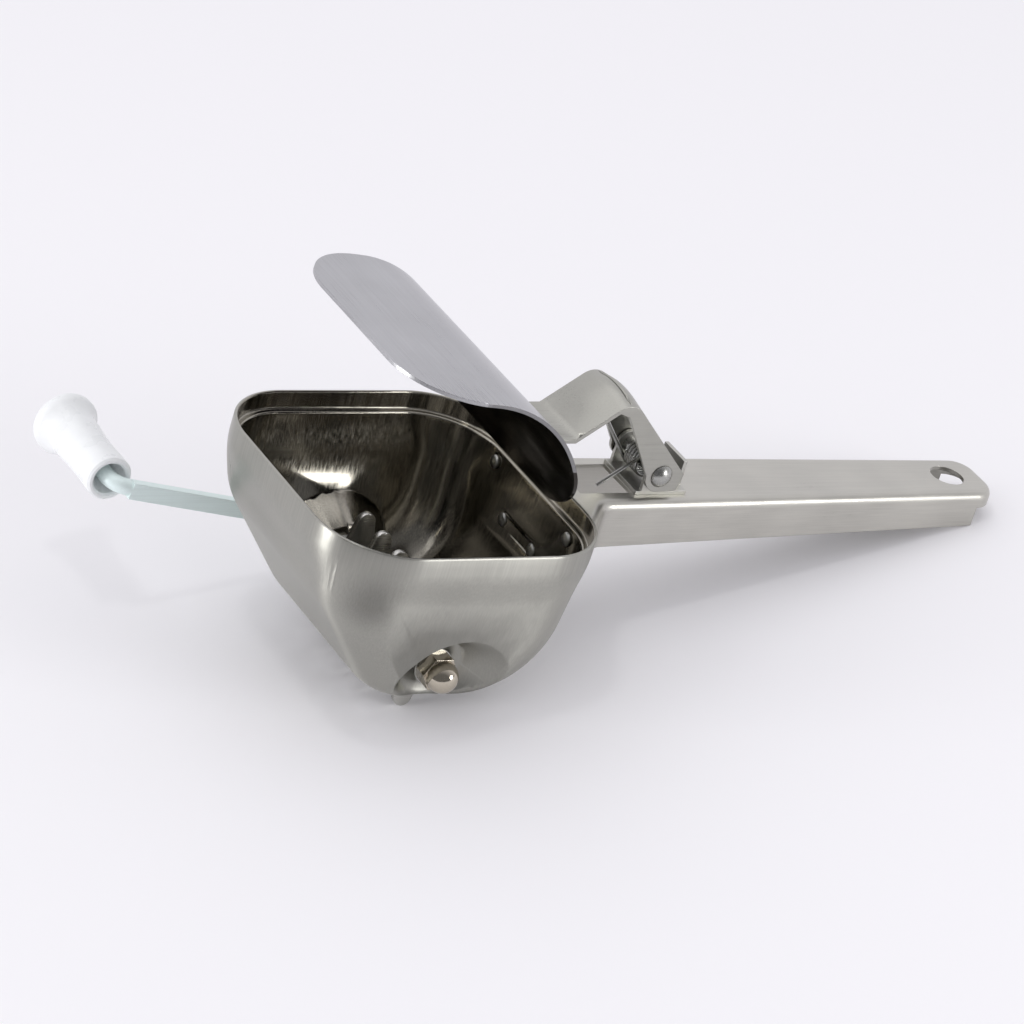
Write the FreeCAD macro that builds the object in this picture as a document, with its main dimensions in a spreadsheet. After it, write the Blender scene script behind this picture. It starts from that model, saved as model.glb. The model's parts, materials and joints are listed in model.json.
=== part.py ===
import FreeCAD, Part
import math
import os
import Sketcher
from FreeCAD import Placement, Rotation, Vector

# A hand-cranked herb mill in stainless sheet: a drawn hopper on a folded handle, five
# star blades on a shaft across the hopper, a crank at the back and a hinged presser.
# Everything is drawn in the hopper's own axes, with X along the handle, Y along the
# shaft toward the crank and Z up, square to the mouth. The origin is in the middle of
# the mouth at the foot of the rim. At the end each piece is tipped to the way that the
# mill lies on a table, on its blade tips and on the far end of the handle.

doc = FreeCAD.newDocument("HerbMill")
sheet = doc.addObject("Spreadsheet::Sheet", "Dims")

DRIVING = {
    # hopper
    "mouth_along": 70.0,
    "mouth_across": 72.0,
    "sheet_thick": 0.9,
    "rim_step": 1.8,
    "rim_height": 4.3,
    "rim_corner": 20.0,
    "wall_corner": 14.0,
    "knee_inset": 1.5,
    "knee_drop": 13.0,
    "knee_round": 20.0,
    "slope_angle": 52.5,
    "slope_round": 17.0,
    "wall_inset": 2.9,
    "bowl_round": 25.0,
    "hopper_depth": 41.8,
    "end_draft": 4.5,
    # bearing recesses
    "recess_mouth": 18.6,
    "recess_floor": 7.6,
    "recess_depth": 12.6,
    "recess_sink": 5.7,
    "recess_shift": 2.0,
    # rotor
    "shaft_along": 2.6,
    "shaft_drop": 32.6,
    "shaft_radius": 2.5,
    "blade_tip": 15.6,
    "blade_root": 7.0,
    "blade_thick": 1.6,
    "blade_pitch": 8.5,
    "blade_count": 5,
    "tooth_count": 4,
    "tooth_base": 8.0,
    "tooth_end": 4.6,
    "spacer_radius": 4.6,
    "slot_clearance": 0.7,
    "running_gap": 0.05,
    "end_play": 0.3,
    "bush_radius": 4.2,
    "bush_flange": 6.2,
    "bush_flange_thick": 1.0,
    "bush_proud": 0.8,
    "washer_radius": 4.8,
    "washer_thick": 0.8,
    "nut_flats": 8.0,
    "nut_hex": 3.6,
    "nut_length": 8.2,
    # crank
    "crank_throw": 55.7,
    "crank_angle": 10.1,
    "crank_width": 4.2,
    "crank_thick": 2.2,
    "crank_clear": 0.5,
    "hub_radius": 4.8,
    "head_radius": 3.9,
    "head_height": 1.5,
    "rod_radius": 2.0,
    "elbow_radius": 4.0,
    "knob_length": 28.0,
    "knob_ring": 6.5,
    "knob_waist": 6.9,
    "knob_lip": 9.5,
    "knob_rim": 4.4,
    "knob_cap": 1.6,
    "knob_mouth": 5.0,
    # handle
    "handle_reach": 166.0,
    "handle_top": 2.0,
    "handle_sheet": 1.0,
    "handle_front": 22.4,
    "handle_back": 17.2,
    "handle_depth_front": 12.0,
    "handle_depth_back": 9.2,
    "handle_flare": 46.0,
    "flare_length": 10.0,
    "handle_edge_round": 2.2,
    "handle_tip_round": 6.0,
    "tip_lip": 4.2,
    "side_end_back": 6.0,
    "hole_radius": 4.4,
    "hole_back": 11.0,
    "window_start": 42.5,
    "window_end": 57.0,
    "window_width": 13.0,
    "seat_gap": 0.1,
    # saddle plate and its rivets
    "saddle_thick": 1.2,
    "saddle_top_width": 42.0,
    "saddle_low_width": 21.0,
    "saddle_low": 17.0,
    "rivet_radius": 1.5,
    "rivet_head": 2.2,
    "rivet_head_height": 0.6,
    "rivet_high": 3.6,
    "rivet_high_side": 17.6,
    "rivet_low": 13.2,
    "rivet_low_side": 7.0,
    # presser and hinge
    "pivot_along": 62.0,
    "pivot_up": 7.8,
    "arm_width": 17.6,
    "arm_sheet": 1.0,
    "strap_rise_angle": 38.0,
    "strap_foot_angle": 10.0,
    "strap_flange": 7.5,
    "strap_flat": 11.0,
    "crest_along": 47.6,
    "crest_up": 28.2,
    "crest_round": 5.0,
    "leg_back": 6.2,
    "leg_heel": 0.5,
    "leg_lobe": 4.3,
    "leg_root": 4.0,
    "pin_radius": 1.9,
    "pin_head": 2.9,
    "pin_head_height": 1.5,
    "bracket_sheet": 1.0,
    "bracket_side_gap": 0.3,
    "ear": 3.4,
    "tab_up": 9.4,
    "tab_half": 4.6,
    "tab_back": 9.5,
    "press_width": 68.6,
    "press_sheet": 0.9,
    "press_flat": 19.8,
    "press_curl": 33.2,
    "press_turn_angle": 81.0,
    "press_slope_angle": 5.3,
    "press_start_along": -28.3,
    "press_start_up": 43.9,
    "press_corner": 18.0,
    "curl_corner": 13.0,
    "spring_coil": 3.5,
    "spring_wire": 0.9,
    "spring_turn_count": 5.745,
    "spring_pitch": 1.1,
    "spring_foot": 14.0,
    "spring_reach": 23.6,
    "spring_spin_angle": -126.9,
}
for row, (alias, size) in enumerate(DRIVING.items(), start=1):
    sheet.set("A%d" % row, alias)
    sheet.set("B%d" % row, repr(size))
    sheet.setAlias("B%d" % row, alias)
doc.recompute()

nodes = {}


def value(expression):
    """Number that an expression on the sheet's cells comes to."""
    return float(sheet.evalExpression(expression))


def size(alias):
    return float(getattr(sheet, alias))


def bind(feature, **expressions):
    for prop, expression in expressions.items():
        feature.setExpression(prop, expression)


def new_body(name):
    body = doc.addObject("PartDesign::Body", name)
    body.Label = name
    return body


def new_sketch(body, name, role, lift=None):
    """Sketch on one of the body's origin planes, lifted along its normal."""
    plane = next(f for f in body.Origin.OriginFeatures if f.Role == role)
    sketch = body.newObject("Sketcher::SketchObject", name)
    sketch.AttachmentSupport = [(plane, "")]
    sketch.MapMode = "FlatFace"
    if lift is not None:
        sketch.setExpression("AttachmentOffset.Base.z", lift)
        doc.recompute()
    return sketch


def fix_point(sketch, edge, end, across, up):
    for kind, expression in (("DistanceX", across), ("DistanceY", up)):
        held = sketch.addConstraint(Sketcher.Constraint(kind, -1, 1, edge, end, value(expression)))
        sketch.setExpression("Constraints[%d]" % held, expression)


def outline(sketch, points):
    """Closed outline. A point is (x, y), or (x, y, radius, side) where an arc leaves it."""
    first = sketch.GeometryCount
    spots = [Vector(value(p[0]), value(p[1]), 0) for p in points]
    for i, point in enumerate(points):
        start, end = spots[i], spots[(i + 1) % len(points)]
        if len(point) == 2:
            sketch.addGeometry(Part.LineSegment(start, end), False)
            continue
        radius = value(point[2])
        chord = end - start
        sag = radius - math.sqrt(max(radius ** 2 - (chord.Length / 2) ** 2, 0.0))
        bulge = Vector(chord.y, -chord.x, 0).normalize() * sag * point[3]
        arc = Part.Arc(start, (start + end) * 0.5 + bulge, end)
        sketch.addGeometry(arc, False)
    for i, point in enumerate(points):
        edge = first + i
        following = first + (i + 1) % len(points)
        begin = arc_start(sketch, edge, spots[i])
        fix_point(sketch, edge, begin, point[0], point[1])
        sketch.addConstraint(Sketcher.Constraint(
            "Coincident", edge, 3 - begin,
            following, arc_start(sketch, following, spots[(i + 1) % len(points)])))
        if len(point) > 2:
            held = sketch.addConstraint(Sketcher.Constraint("Radius", edge, value(point[2])))
            sketch.setExpression("Constraints[%d]" % held, point[2])


def arc_start(sketch, edge, spot):
    """Which end of an edge lies on the spot: 1 for its start, 2 for its end."""
    return 1 if sketch.getPoint(edge, 1).distanceToPoint(spot) < 1e-4 else 2


def circle(sketch, across, up, radius):
    edge = sketch.addGeometry(Part.Circle(Vector(value(across), value(up), 0),
                                          Vector(0, 0, 1), value(radius)), False)
    fix_point(sketch, edge, 3, across, up)
    held = sketch.addConstraint(Sketcher.Constraint("Radius", edge, value(radius)))
    sketch.setExpression("Constraints[%d]" % held, radius)


def pad(body, sketch, name, length, both_ways=False):
    feature = body.newObject("PartDesign::Pad", name)
    feature.Profile = sketch
    bind(feature, Length=length)
    if both_ways:
        feature.SideType = "Symmetric"
    doc.recompute()
    return feature


def pocket(body, sketch, name, length, both_ways=True, reverse=False):
    """Pocket that must take something away; it is turned round if it cuts nothing."""
    before = body.Shape.Volume
    feature = body.newObject("PartDesign::Pocket", name)
    feature.Profile = sketch
    bind(feature, Length=length)
    if both_ways:
        feature.SideType = "Symmetric"
    feature.Reversed = reverse
    doc.recompute()
    if feature.Shape.Volume > before - 0.5:
        feature.Reversed = not reverse
        doc.recompute()
    return feature


def revolve(body, sketch, name, axis):
    feature = body.newObject("PartDesign::Revolution", name)
    feature.Profile = sketch
    feature.ReferenceAxis = (sketch, [axis])
    feature.Angle = 360
    doc.recompute()
    return feature


def fillet(body, name, radius, chosen):
    """Round the edges of the body's last shape for which chosen(edge) is true."""
    base = body.Tip
    names = ["Edge%d" % (i + 1) for i, e in enumerate(base.Shape.Edges) if chosen(e)]
    feature = body.newObject("PartDesign::Fillet", name)
    feature.Base = (base, names)
    bind(feature, Radius=radius)
    doc.recompute()
    return feature


def along(edge, direction):
    """True where a straight edge runs along a direction."""
    if edge.Curve.TypeId != "Part::GeomLine":
        return False
    return abs(abs(edge.tangentAt(edge.FirstParameter).dot(direction)) - 1) < 1e-3


def centre(edge):
    return edge.BoundBox.Center


def cylinder(name, radius, length, spot, bore=None):
    """Plain cylinder or tube along Y that starts at spot, an (x, y, z) of expressions."""
    rod = doc.addObject("Part::Cylinder", name)
    bind(rod, Radius=radius, Height=length)
    turn_to_y(rod, spot)
    if bore is None:
        return rod
    hole = doc.addObject("Part::Cylinder", name + "_bore")
    bind(hole, Radius=bore, Height=length)
    turn_to_y(hole, spot)
    tube = doc.addObject("Part::Cut", name + "_tube")
    tube.Base = rod
    tube.Tool = hole
    doc.recompute()
    return tube


def turn_to_y(shape, spot):
    """Stand a primitive along Y with its foot at spot."""
    shape.Placement = Placement(Vector(0, 0, 0), Rotation(Vector(1, 0, 0), -90))
    for axis, expression in zip("xyz", spot):
        shape.setExpression("Placement.Base." + axis, expression)


def join(name, kind, base, tools):
    """Boolean of kind Part::Cut, or Part::MultiFuse of the base and the tools."""
    result = doc.addObject(kind, name)
    if kind == "Part::MultiFuse":
        result.Shapes = [base] + tools
    else:
        result.Base = base
        result.Tool = tools[0]
    doc.recompute()
    return result


def keep(name, feature, place=None):
    """Name a finished piece and place it in the hopper's axes, then lay the mill down."""
    feature.Label = name
    feature.Placement = LYING.multiply(place) if place else LYING
    nodes[name] = feature


# The mill lies on its handle's side walls and on the round ends of its lowest teeth, so
# both come to the same height.
tooth_round = value("Dims.tooth_end / 2")
tooth_depth = value("Dims.shaft_drop + Dims.blade_tip - Dims.tooth_end / 2")
heel_along = value("Dims.handle_reach - Dims.side_end_back - Dims.shaft_along")
heel_rise = tooth_depth - value("Dims.handle_depth_back - Dims.handle_top")
lean = math.atan(heel_rise / heel_along) + math.asin(tooth_round / math.hypot(heel_along, heel_rise))
lift = size("shaft_along") * math.sin(lean) + tooth_depth * math.cos(lean) + tooth_round
LYING = Placement(Vector(0, 0, lift), Rotation(Vector(0, 1, 0), math.degrees(lean)))


def trough(name, inset):
    """Solid block of the hopper's form, moved in by inset on every side.

    The wall toward the handle drops almost straight into a wide round. The wall on
    the other side turns at the knee and slopes down to the blades.
    """
    half = "(Dims.mouth_along / 2 - %s)" % inset
    end = "(Dims.mouth_across / 2 - %s)" % inset
    floor = "(Dims.hopper_depth - %s)" % inset
    knee = "(%s - Dims.knee_inset)" % half
    rise = "(%s * (1 / sin(Dims.slope_angle) - 1) * tan(Dims.slope_angle))" % inset
    knee_z = "(%s - Dims.knee_drop)" % rise
    foot = "(%s - (%s + %s) / tan(Dims.slope_angle))" % (knee, floor, knee_z)
    corner = "(%s - Dims.wall_inset * %s / Dims.hopper_depth)" % (half, floor)
    body = new_body(name)
    profile = new_sketch(body, name + "_profile", "XZ_Plane")
    outline(profile, [("-" + half, "0"), ("-" + knee, knee_z), ("-" + foot, "-" + floor),
                      (corner, "-" + floor), (half, "0")])
    pad(body, profile, name + "_block", "2 * " + end, both_ways=True)
    wedge = new_sketch(body, name + "_draft_sides", "YZ_Plane")
    for side in ("", "-"):
        outline(wedge, [(side + end, "0"), (side + "(%s + 1)" % end, "0"),
                        (side + "(%s + 1)" % end, "-1.2 * " + floor),
                        (side + "(%s - 1.2 * Dims.end_draft)" % end, "-1.2 * " + floor)])
    pocket(body, wedge, name + "_draft", "2 * Dims.mouth_along")
    low = -value(floor)
    across = Vector(0, 1, 0)
    fillet(body, name + "_knee", "Dims.knee_round - " + inset,
           lambda e: along(e, across) and low + 1 < centre(e).z < -1)
    fillet(body, name + "_slope_foot", "Dims.slope_round - " + inset,
           lambda e: along(e, across) and centre(e).z < low + 1 and centre(e).x < 0)
    fillet(body, name + "_bowl", "Dims.bowl_round - " + inset,
           lambda e: along(e, across) and centre(e).z < low + 1 and centre(e).x > value(corner) - 1)
    reach = value(end) - size("end_draft") - 0.5
    fillet(body, name + "_ends", "Dims.wall_corner - " + inset,
           lambda e: abs(centre(e).y) > reach and centre(e).z < -1 and not along(e, across))
    return body


def rounded_plate(body, name, half_x, half_y, corner, foot, height):
    """Pad of a rectangle with round corners, from height foot up."""
    plan = new_sketch(body, name + "_plan", "XY_Plane", foot)
    flat_x = "(%s - %s)" % (half_x, corner)
    flat_y = "(%s - %s)" % (half_y, corner)
    outline(plan, [("-" + flat_x, "-" + half_y), (flat_x, "-" + half_y, corner, 1),
                   (half_x, "-" + flat_y), (half_x, flat_y, corner, 1),
                   (flat_x, half_y), ("-" + flat_x, half_y, corner, 1),
                   ("-" + half_x, flat_y), ("-" + half_x, "-" + flat_y, corner, 1)])
    return pad(body, plan, name, height)


def recess(name, grow, side):
    """Oblique cone pressed into an end wall, from a low wide mouth to a floor round the shaft.

    It starts a little outside the wall, by the rim's step, along the same taper.
    """
    lead = "(Dims.rim_step / Dims.recess_depth)"
    flare = "(Dims.recess_mouth - Dims.recess_floor)"
    circles = []
    for end, share, off_wall in (("mouth", "(1 + %s)" % lead, "Dims.rim_step"),
                                 ("floor", "0", "-Dims.recess_depth - " + grow)):
        ring = doc.addObject("Part::Circle", "%s_%s" % (name, end))
        bind(ring, Radius="Dims.recess_floor + %s * %s + %s" % (flare, share, grow))
        ring.Placement = Placement(Vector(0, 0, 0), Rotation(Vector(1, 0, 0), 90))
        bind(ring, **{"Placement.Base.x": "Dims.shaft_along + Dims.recess_shift * " + share,
                      "Placement.Base.y": "%d * (Dims.mouth_across / 2 + (%s))" % (side, off_wall),
                      "Placement.Base.z": "-Dims.shaft_drop - Dims.recess_sink * " + share})
        circles.append(ring)
    cone = doc.addObject("Part::Loft", name)
    cone.Sections = circles
    cone.Solid = True
    cone.Ruled = True
    doc.recompute()
    return cone


def make_hopper():
    outer = trough("hopper_outside", "0")
    rounded_plate(outer, "hopper_rim", "(Dims.mouth_along / 2 + Dims.rim_step)",
                  "(Dims.mouth_across / 2 + Dims.rim_step)", "Dims.rim_corner",
                  "-Dims.sheet_thick", "Dims.rim_height + Dims.sheet_thick")
    inner = trough("hopper_inside", "Dims.sheet_thick")
    rounded_plate(inner, "mouth_opening",
                  "(Dims.mouth_along / 2 + Dims.rim_step - Dims.sheet_thick)",
                  "(Dims.mouth_across / 2 + Dims.rim_step - Dims.sheet_thick)",
                  "(Dims.rim_corner - Dims.sheet_thick)", "0", "Dims.rim_height + 1")
    cones = [recess("recess_front", "0", -1), recess("recess_back", "0", 1)]
    bosses = [recess("boss_front", "Dims.sheet_thick", -1), recess("boss_back", "Dims.sheet_thick", 1)]
    recesses = join("recesses", "Part::MultiFuse", cones[0], cones[1:])
    pressed = join("pressed_outside", "Part::Cut", outer, [recesses])
    boss_pair = join("bosses", "Part::MultiFuse", bosses[0], bosses[1:])
    cavity = join("cavity", "Part::Cut", inner, [boss_pair])
    shell = join("hopper_shell", "Part::Cut", pressed, [cavity])
    bores = cylinder("bush_bores", "Dims.bush_radius", "Dims.mouth_across",
                     ("Dims.shaft_along", "-Dims.mouth_across / 2", "-Dims.shaft_drop"))
    bored = join("hopper_bored", "Part::Cut", shell, [bores])
    # the blades pass through slots, so each slot is the disc that its blade sweeps
    cuts = [slot(number) for number in range(1, int(size("blade_count")) + 1)]
    cuts += [rivet_hole(spot, i) for i, spot in enumerate(rivet_spots())]
    openings = join("slots_and_holes", "Part::MultiFuse", cuts[0], cuts[1:])
    hopper = join("hopper", "Part::Cut", bored, [openings])
    keep("hopper", hopper)


def blade_station(number):
    """Distance along Y of the middle of a blade."""
    return "(Dims.blade_pitch * (%d - (Dims.blade_count + 1) / 2))" % number


def slot(number):
    width = "(Dims.blade_thick + 2 * Dims.slot_clearance)"
    return cylinder("slot_%d" % number, "Dims.blade_tip + Dims.slot_clearance", width,
                    ("Dims.shaft_along", "%s - %s / 2" % (blade_station(number), width), "-Dims.shaft_drop"))


def rivet_spots():
    """Side and drop of each saddle rivet."""
    return [("-Dims.rivet_high_side", "-Dims.rivet_high"), ("Dims.rivet_high_side", "-Dims.rivet_high"),
            ("-Dims.rivet_low_side", "-Dims.rivet_low"), ("Dims.rivet_low_side", "-Dims.rivet_low")]


# The hopper's wall toward the handle leans in by its inset between mouth and floor.
WALL_SLOPE = "Dims.wall_inset / Dims.hopper_depth"
WALL_ANGLE = "atan(%s)" % WALL_SLOPE
WALL_LEAN = value(WALL_ANGLE)


def wall_place(side, drop):
    """Place on the outside of the hopper's wall toward the handle, local Z out of it."""
    along_x = value("Dims.mouth_along / 2 + (%s) * %s" % (drop, WALL_SLOPE))
    return Placement(Vector(along_x, value(side), value(drop)),
                     Rotation(Vector(0, 1, 0), 90 + WALL_LEAN))


def rivet_hole(spot, number):
    hole = doc.addObject("Part::Cylinder", "rivet_hole_%d" % (number + 1))
    bind(hole, Radius="Dims.rivet_radius", Height="4 * Dims.sheet_thick")
    hole.Placement = wall_place(*spot).multiply(Placement(Vector(0, 0, -3 * size("sheet_thick")), Rotation()))
    return hole


def make_saddle():
    """Plate between the hopper's wall and the flared end of the handle."""
    body = new_body("handle_saddle")
    face = new_sketch(body, "saddle_face", "XY_Plane")
    # local X runs down the wall and local Y across it
    high = "(Dims.sheet_thick + Dims.seat_gap + Dims.end_play)"
    outline(face, [(high, "-Dims.saddle_top_width / 2"), ("Dims.saddle_low", "-Dims.saddle_low_width / 2"),
                   ("Dims.saddle_low", "Dims.saddle_low_width / 2"), (high, "Dims.saddle_top_width / 2")])
    pad(body, face, "saddle_plate", "Dims.saddle_thick")
    for i, (side, drop) in enumerate(rivet_spots()):
        circle_sketch = new_sketch(body, "saddle_hole_%d" % (i + 1), "XY_Plane")
        circle(circle_sketch, "-(%s) / cos(%s)" % (drop, WALL_ANGLE), side, "Dims.rivet_radius")
        pocket(body, circle_sketch, "saddle_bore_%d" % (i + 1), "4 * Dims.saddle_thick")
    keep("handle_saddle", body, wall_place("0", "0"))


def make_rivet(name, radius, grip, head, head_height):
    """Rivet along local Z that grips from 0 to grip, with domed heads."""
    body = new_body(name)
    half = new_sketch(body, name + "_half", "XZ_Plane")
    dome = "(((%s) ^ 2 + (%s) ^ 2) / (2 * (%s)))" % (head, head_height, head_height)
    outline(half, [("0", "-(%s)" % head_height, dome, 1), (head, "0"), (radius, "0"),
                   (radius, grip), (head, grip, dome, 1), ("0", "(%s) + (%s)" % (grip, head_height))])
    revolve(body, half, name + "_turned", "V_Axis")
    return body


def make_saddle_rivets():
    grip = "Dims.sheet_thick + Dims.saddle_thick"
    rivet = make_rivet("saddle_rivet", "Dims.rivet_radius", grip, "Dims.rivet_head", "Dims.rivet_head_height")
    solids = []
    for side, drop in rivet_spots():
        place = wall_place(side, drop).multiply(Placement(Vector(0, 0, -size("sheet_thick")), Rotation()))
        copy = rivet.Shape.copy()
        copy.Placement = place
        solids.append(copy)
    group = doc.addObject("Part::Feature", "saddle_rivets")
    group.Shape = Part.makeCompound(solids)
    keep("saddle_rivets", group)


def make_handle():
    body = new_body("handle")
    plan = new_sketch(body, "handle_plan", "XY_Plane", "Dims.handle_top")
    front = "(Dims.mouth_along / 2 - Dims.wall_inset)"
    flare = "(Dims.mouth_along / 2 + Dims.rim_step + Dims.flare_length)"
    outline(plan, [(front, "-Dims.handle_flare / 2"),
                   ("Dims.mouth_along / 2 + Dims.rim_step", "-Dims.handle_flare / 2"),
                   (flare, "-Dims.handle_front / 2"), ("Dims.handle_reach", "-Dims.handle_back / 2"),
                   ("Dims.handle_reach", "Dims.handle_back / 2"), (flare, "Dims.handle_front / 2"),
                   ("Dims.mouth_along / 2 + Dims.rim_step", "Dims.handle_flare / 2"),
                   (front, "Dims.handle_flare / 2")])
    block = pad(body, plan, "handle_block", "Dims.handle_depth_front + 4")
    if block.Shape.BoundBox.ZMax > size("handle_top") + 1:
        block.Reversed = True
        doc.recompute()
    reach = size("handle_reach")
    upright = Vector(0, 0, 1)
    fillet(body, "tip_corners", "Dims.handle_tip_round",
           lambda e: along(e, upright) and centre(e).x > reach - 1)
    fillet(body, "flare_corners", "Dims.flare_length / 2",
           lambda e: along(e, upright) and size("window_start") - 3 < centre(e).x < reach - 20)
    front_x = value(front)
    top = size("handle_top")
    fillet(body, "top_edges", "Dims.handle_edge_round",
           lambda e: abs(e.BoundBox.ZMin - top) < 1e-4 and abs(e.BoundBox.ZMax - top) < 1e-4
           and centre(e).x > front_x + 0.5)
    base = body.Tip
    faces = ["Face%d" % (i + 1) for i, f in enumerate(base.Shape.Faces)
             if f.BoundBox.ZMax < top - size("handle_depth_front")
             or (f.BoundBox.XMax < front_x + 0.01)]
    shell = body.newObject("PartDesign::Thickness", "handle_folded")
    shell.Base = (base, faces)
    shell.Reversed = True
    bind(shell, Value="Dims.handle_sheet")
    doc.recompute()
    # the side walls get shallower toward the far end and stop short of the tip
    cut = new_sketch(body, "handle_underside", "XZ_Plane")
    low = "(Dims.handle_top - Dims.handle_depth_front - 6)"
    side_end = "(Dims.handle_reach - Dims.side_end_back)"
    outline(cut, [(front + " - 2", low), (front + " - 2", "Dims.handle_top - Dims.handle_depth_front"),
                  (flare, "Dims.handle_top - Dims.handle_depth_front"),
                  (side_end, "Dims.handle_top - Dims.handle_depth_back"),
                  (side_end, "Dims.handle_top - Dims.tip_lip"),
                  ("Dims.handle_reach + 2", "Dims.handle_top - Dims.tip_lip"),
                  ("Dims.handle_reach + 2", low)])
    pocket(body, cut, "side_walls_trim", "2 * Dims.handle_flare")
    # the flared end follows the hopper's wall and stops at the rim
    nose = new_sketch(body, "handle_nose", "XZ_Plane")
    wall_top = "(Dims.mouth_along / 2 + Dims.saddle_thick)"
    rim_face = "(Dims.mouth_along / 2 + Dims.rim_step + Dims.seat_gap)"
    under_rim = "(-Dims.sheet_thick - Dims.seat_gap)"
    outline(nose, [(front + " - 2", "Dims.handle_top + 1"), (rim_face, "Dims.handle_top + 1"),
                   (rim_face, under_rim), (wall_top, under_rim),
                   (wall_top + " + %s * %s" % (low, WALL_SLOPE), low), (front + " - 2", low)])
    pocket(body, nose, "nose_trim", "2 * Dims.handle_flare")
    holes = new_sketch(body, "handle_holes", "XY_Plane", "Dims.handle_top")
    circle(holes, "Dims.handle_reach - Dims.hole_back", "0", "Dims.hole_radius")
    side = "Dims.window_width / 2"
    outline(holes, [("Dims.window_start", "-" + side), ("Dims.window_end", "-" + side),
                    ("Dims.window_end", side), ("Dims.window_start", side)])
    pocket(body, holes, "handle_openings", "3 * Dims.handle_sheet")
    keep("handle", body)


def make_bracket():
    """Bent sheet on the handle with two ears for the hinge pin and a stop tab behind it."""
    body = new_body("hinge_bracket")
    half = "(Dims.arm_width / 2 - Dims.arm_sheet - Dims.bracket_side_gap)"
    start = "(Dims.window_end + Dims.seat_gap)"
    end = "(Dims.pivot_along + Dims.tab_back)"
    side = new_sketch(body, "bracket_side", "XZ_Plane")
    outline(side, [(start, "Dims.handle_top"), (end, "Dims.handle_top"), (end, "Dims.tab_up"),
                   (end + " - Dims.bracket_sheet", "Dims.tab_up"),
                   (end + " - Dims.bracket_sheet", "Dims.handle_top + Dims.bracket_sheet"),
                   ("Dims.pivot_along + Dims.ear", "Dims.handle_top + Dims.bracket_sheet"),
                   ("Dims.pivot_along + Dims.ear", "Dims.pivot_up", "1.0001 * Dims.ear", 1),
                   ("Dims.pivot_along - Dims.ear", "Dims.pivot_up"),
                   ("Dims.pivot_along - Dims.ear", "Dims.handle_top + Dims.bracket_sheet"),
                   (start, "Dims.handle_top + Dims.bracket_sheet")])
    pad(body, side, "bracket_block", "2 * " + half, both_ways=True)
    inside = new_sketch(body, "bracket_inside", "XZ_Plane")
    before = "(%s - Dims.ear)" % start
    tab_face = "(%s - Dims.bracket_sheet)" % end
    seat = "(Dims.handle_top + Dims.bracket_sheet)"
    clear_up = "(Dims.pivot_up + 2 * Dims.ear)"
    outline(inside, [(before, seat), (tab_face, seat), (tab_face, clear_up), (before, clear_up)])
    pocket(body, inside, "bracket_fold", "2 * (%s - Dims.bracket_sheet)" % half)
    tab = new_sketch(body, "tab_sides", "YZ_Plane", end + " - Dims.bracket_sheet / 2")
    for sign in ("", "-"):
        outline(tab, [(sign + "Dims.tab_half", seat), (sign + "Dims.arm_width", seat),
                      (sign + "Dims.arm_width", clear_up), (sign + "Dims.tab_half", clear_up)])
    pocket(body, tab, "tab_narrowed", "3 * Dims.bracket_sheet")
    bore = new_sketch(body, "bracket_bore", "XZ_Plane")
    circle(bore, "Dims.pivot_along", "Dims.pivot_up", "Dims.pin_radius")
    pocket(body, bore, "bracket_holes", "2 * Dims.arm_width")
    keep("hinge_bracket", body)


def pivot_place(shift="0"):
    """Place on the hinge axis, local Z along Y."""
    return Placement(Vector(size("pivot_along"), value(shift), size("pivot_up")),
                     Rotation(Vector(1, 0, 0), -90))


def make_hinge_pin():
    grip = "Dims.arm_width + 4 * Dims.running_gap"
    pin = make_rivet("hinge_pin", "Dims.pin_radius", grip, "Dims.pin_head", "Dims.pin_head_height")
    keep("hinge_pin", pin, pivot_place("-(%s) / 2" % grip))


# Middle of the presser's curl and the angle at which the curl ends, in the hopper's axes.
CURL_X = ("(Dims.press_start_along + Dims.press_flat * cos(Dims.press_slope_angle)"
          " - Dims.press_curl * sin(Dims.press_slope_angle))")
CURL_Z = ("(Dims.press_start_up - Dims.press_flat * sin(Dims.press_slope_angle)"
          " - Dims.press_curl * cos(Dims.press_slope_angle))")
CURL_END = "(90 - Dims.press_slope_angle - Dims.press_turn_angle)"


def on_curl(radius, angle):
    """Point at a radius and an angle in degrees round the middle of the curl."""
    return ("%s + (%s) * cos(%s)" % (CURL_X, radius, angle), "%s + (%s) * sin(%s)" % (CURL_Z, radius, angle))


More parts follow.
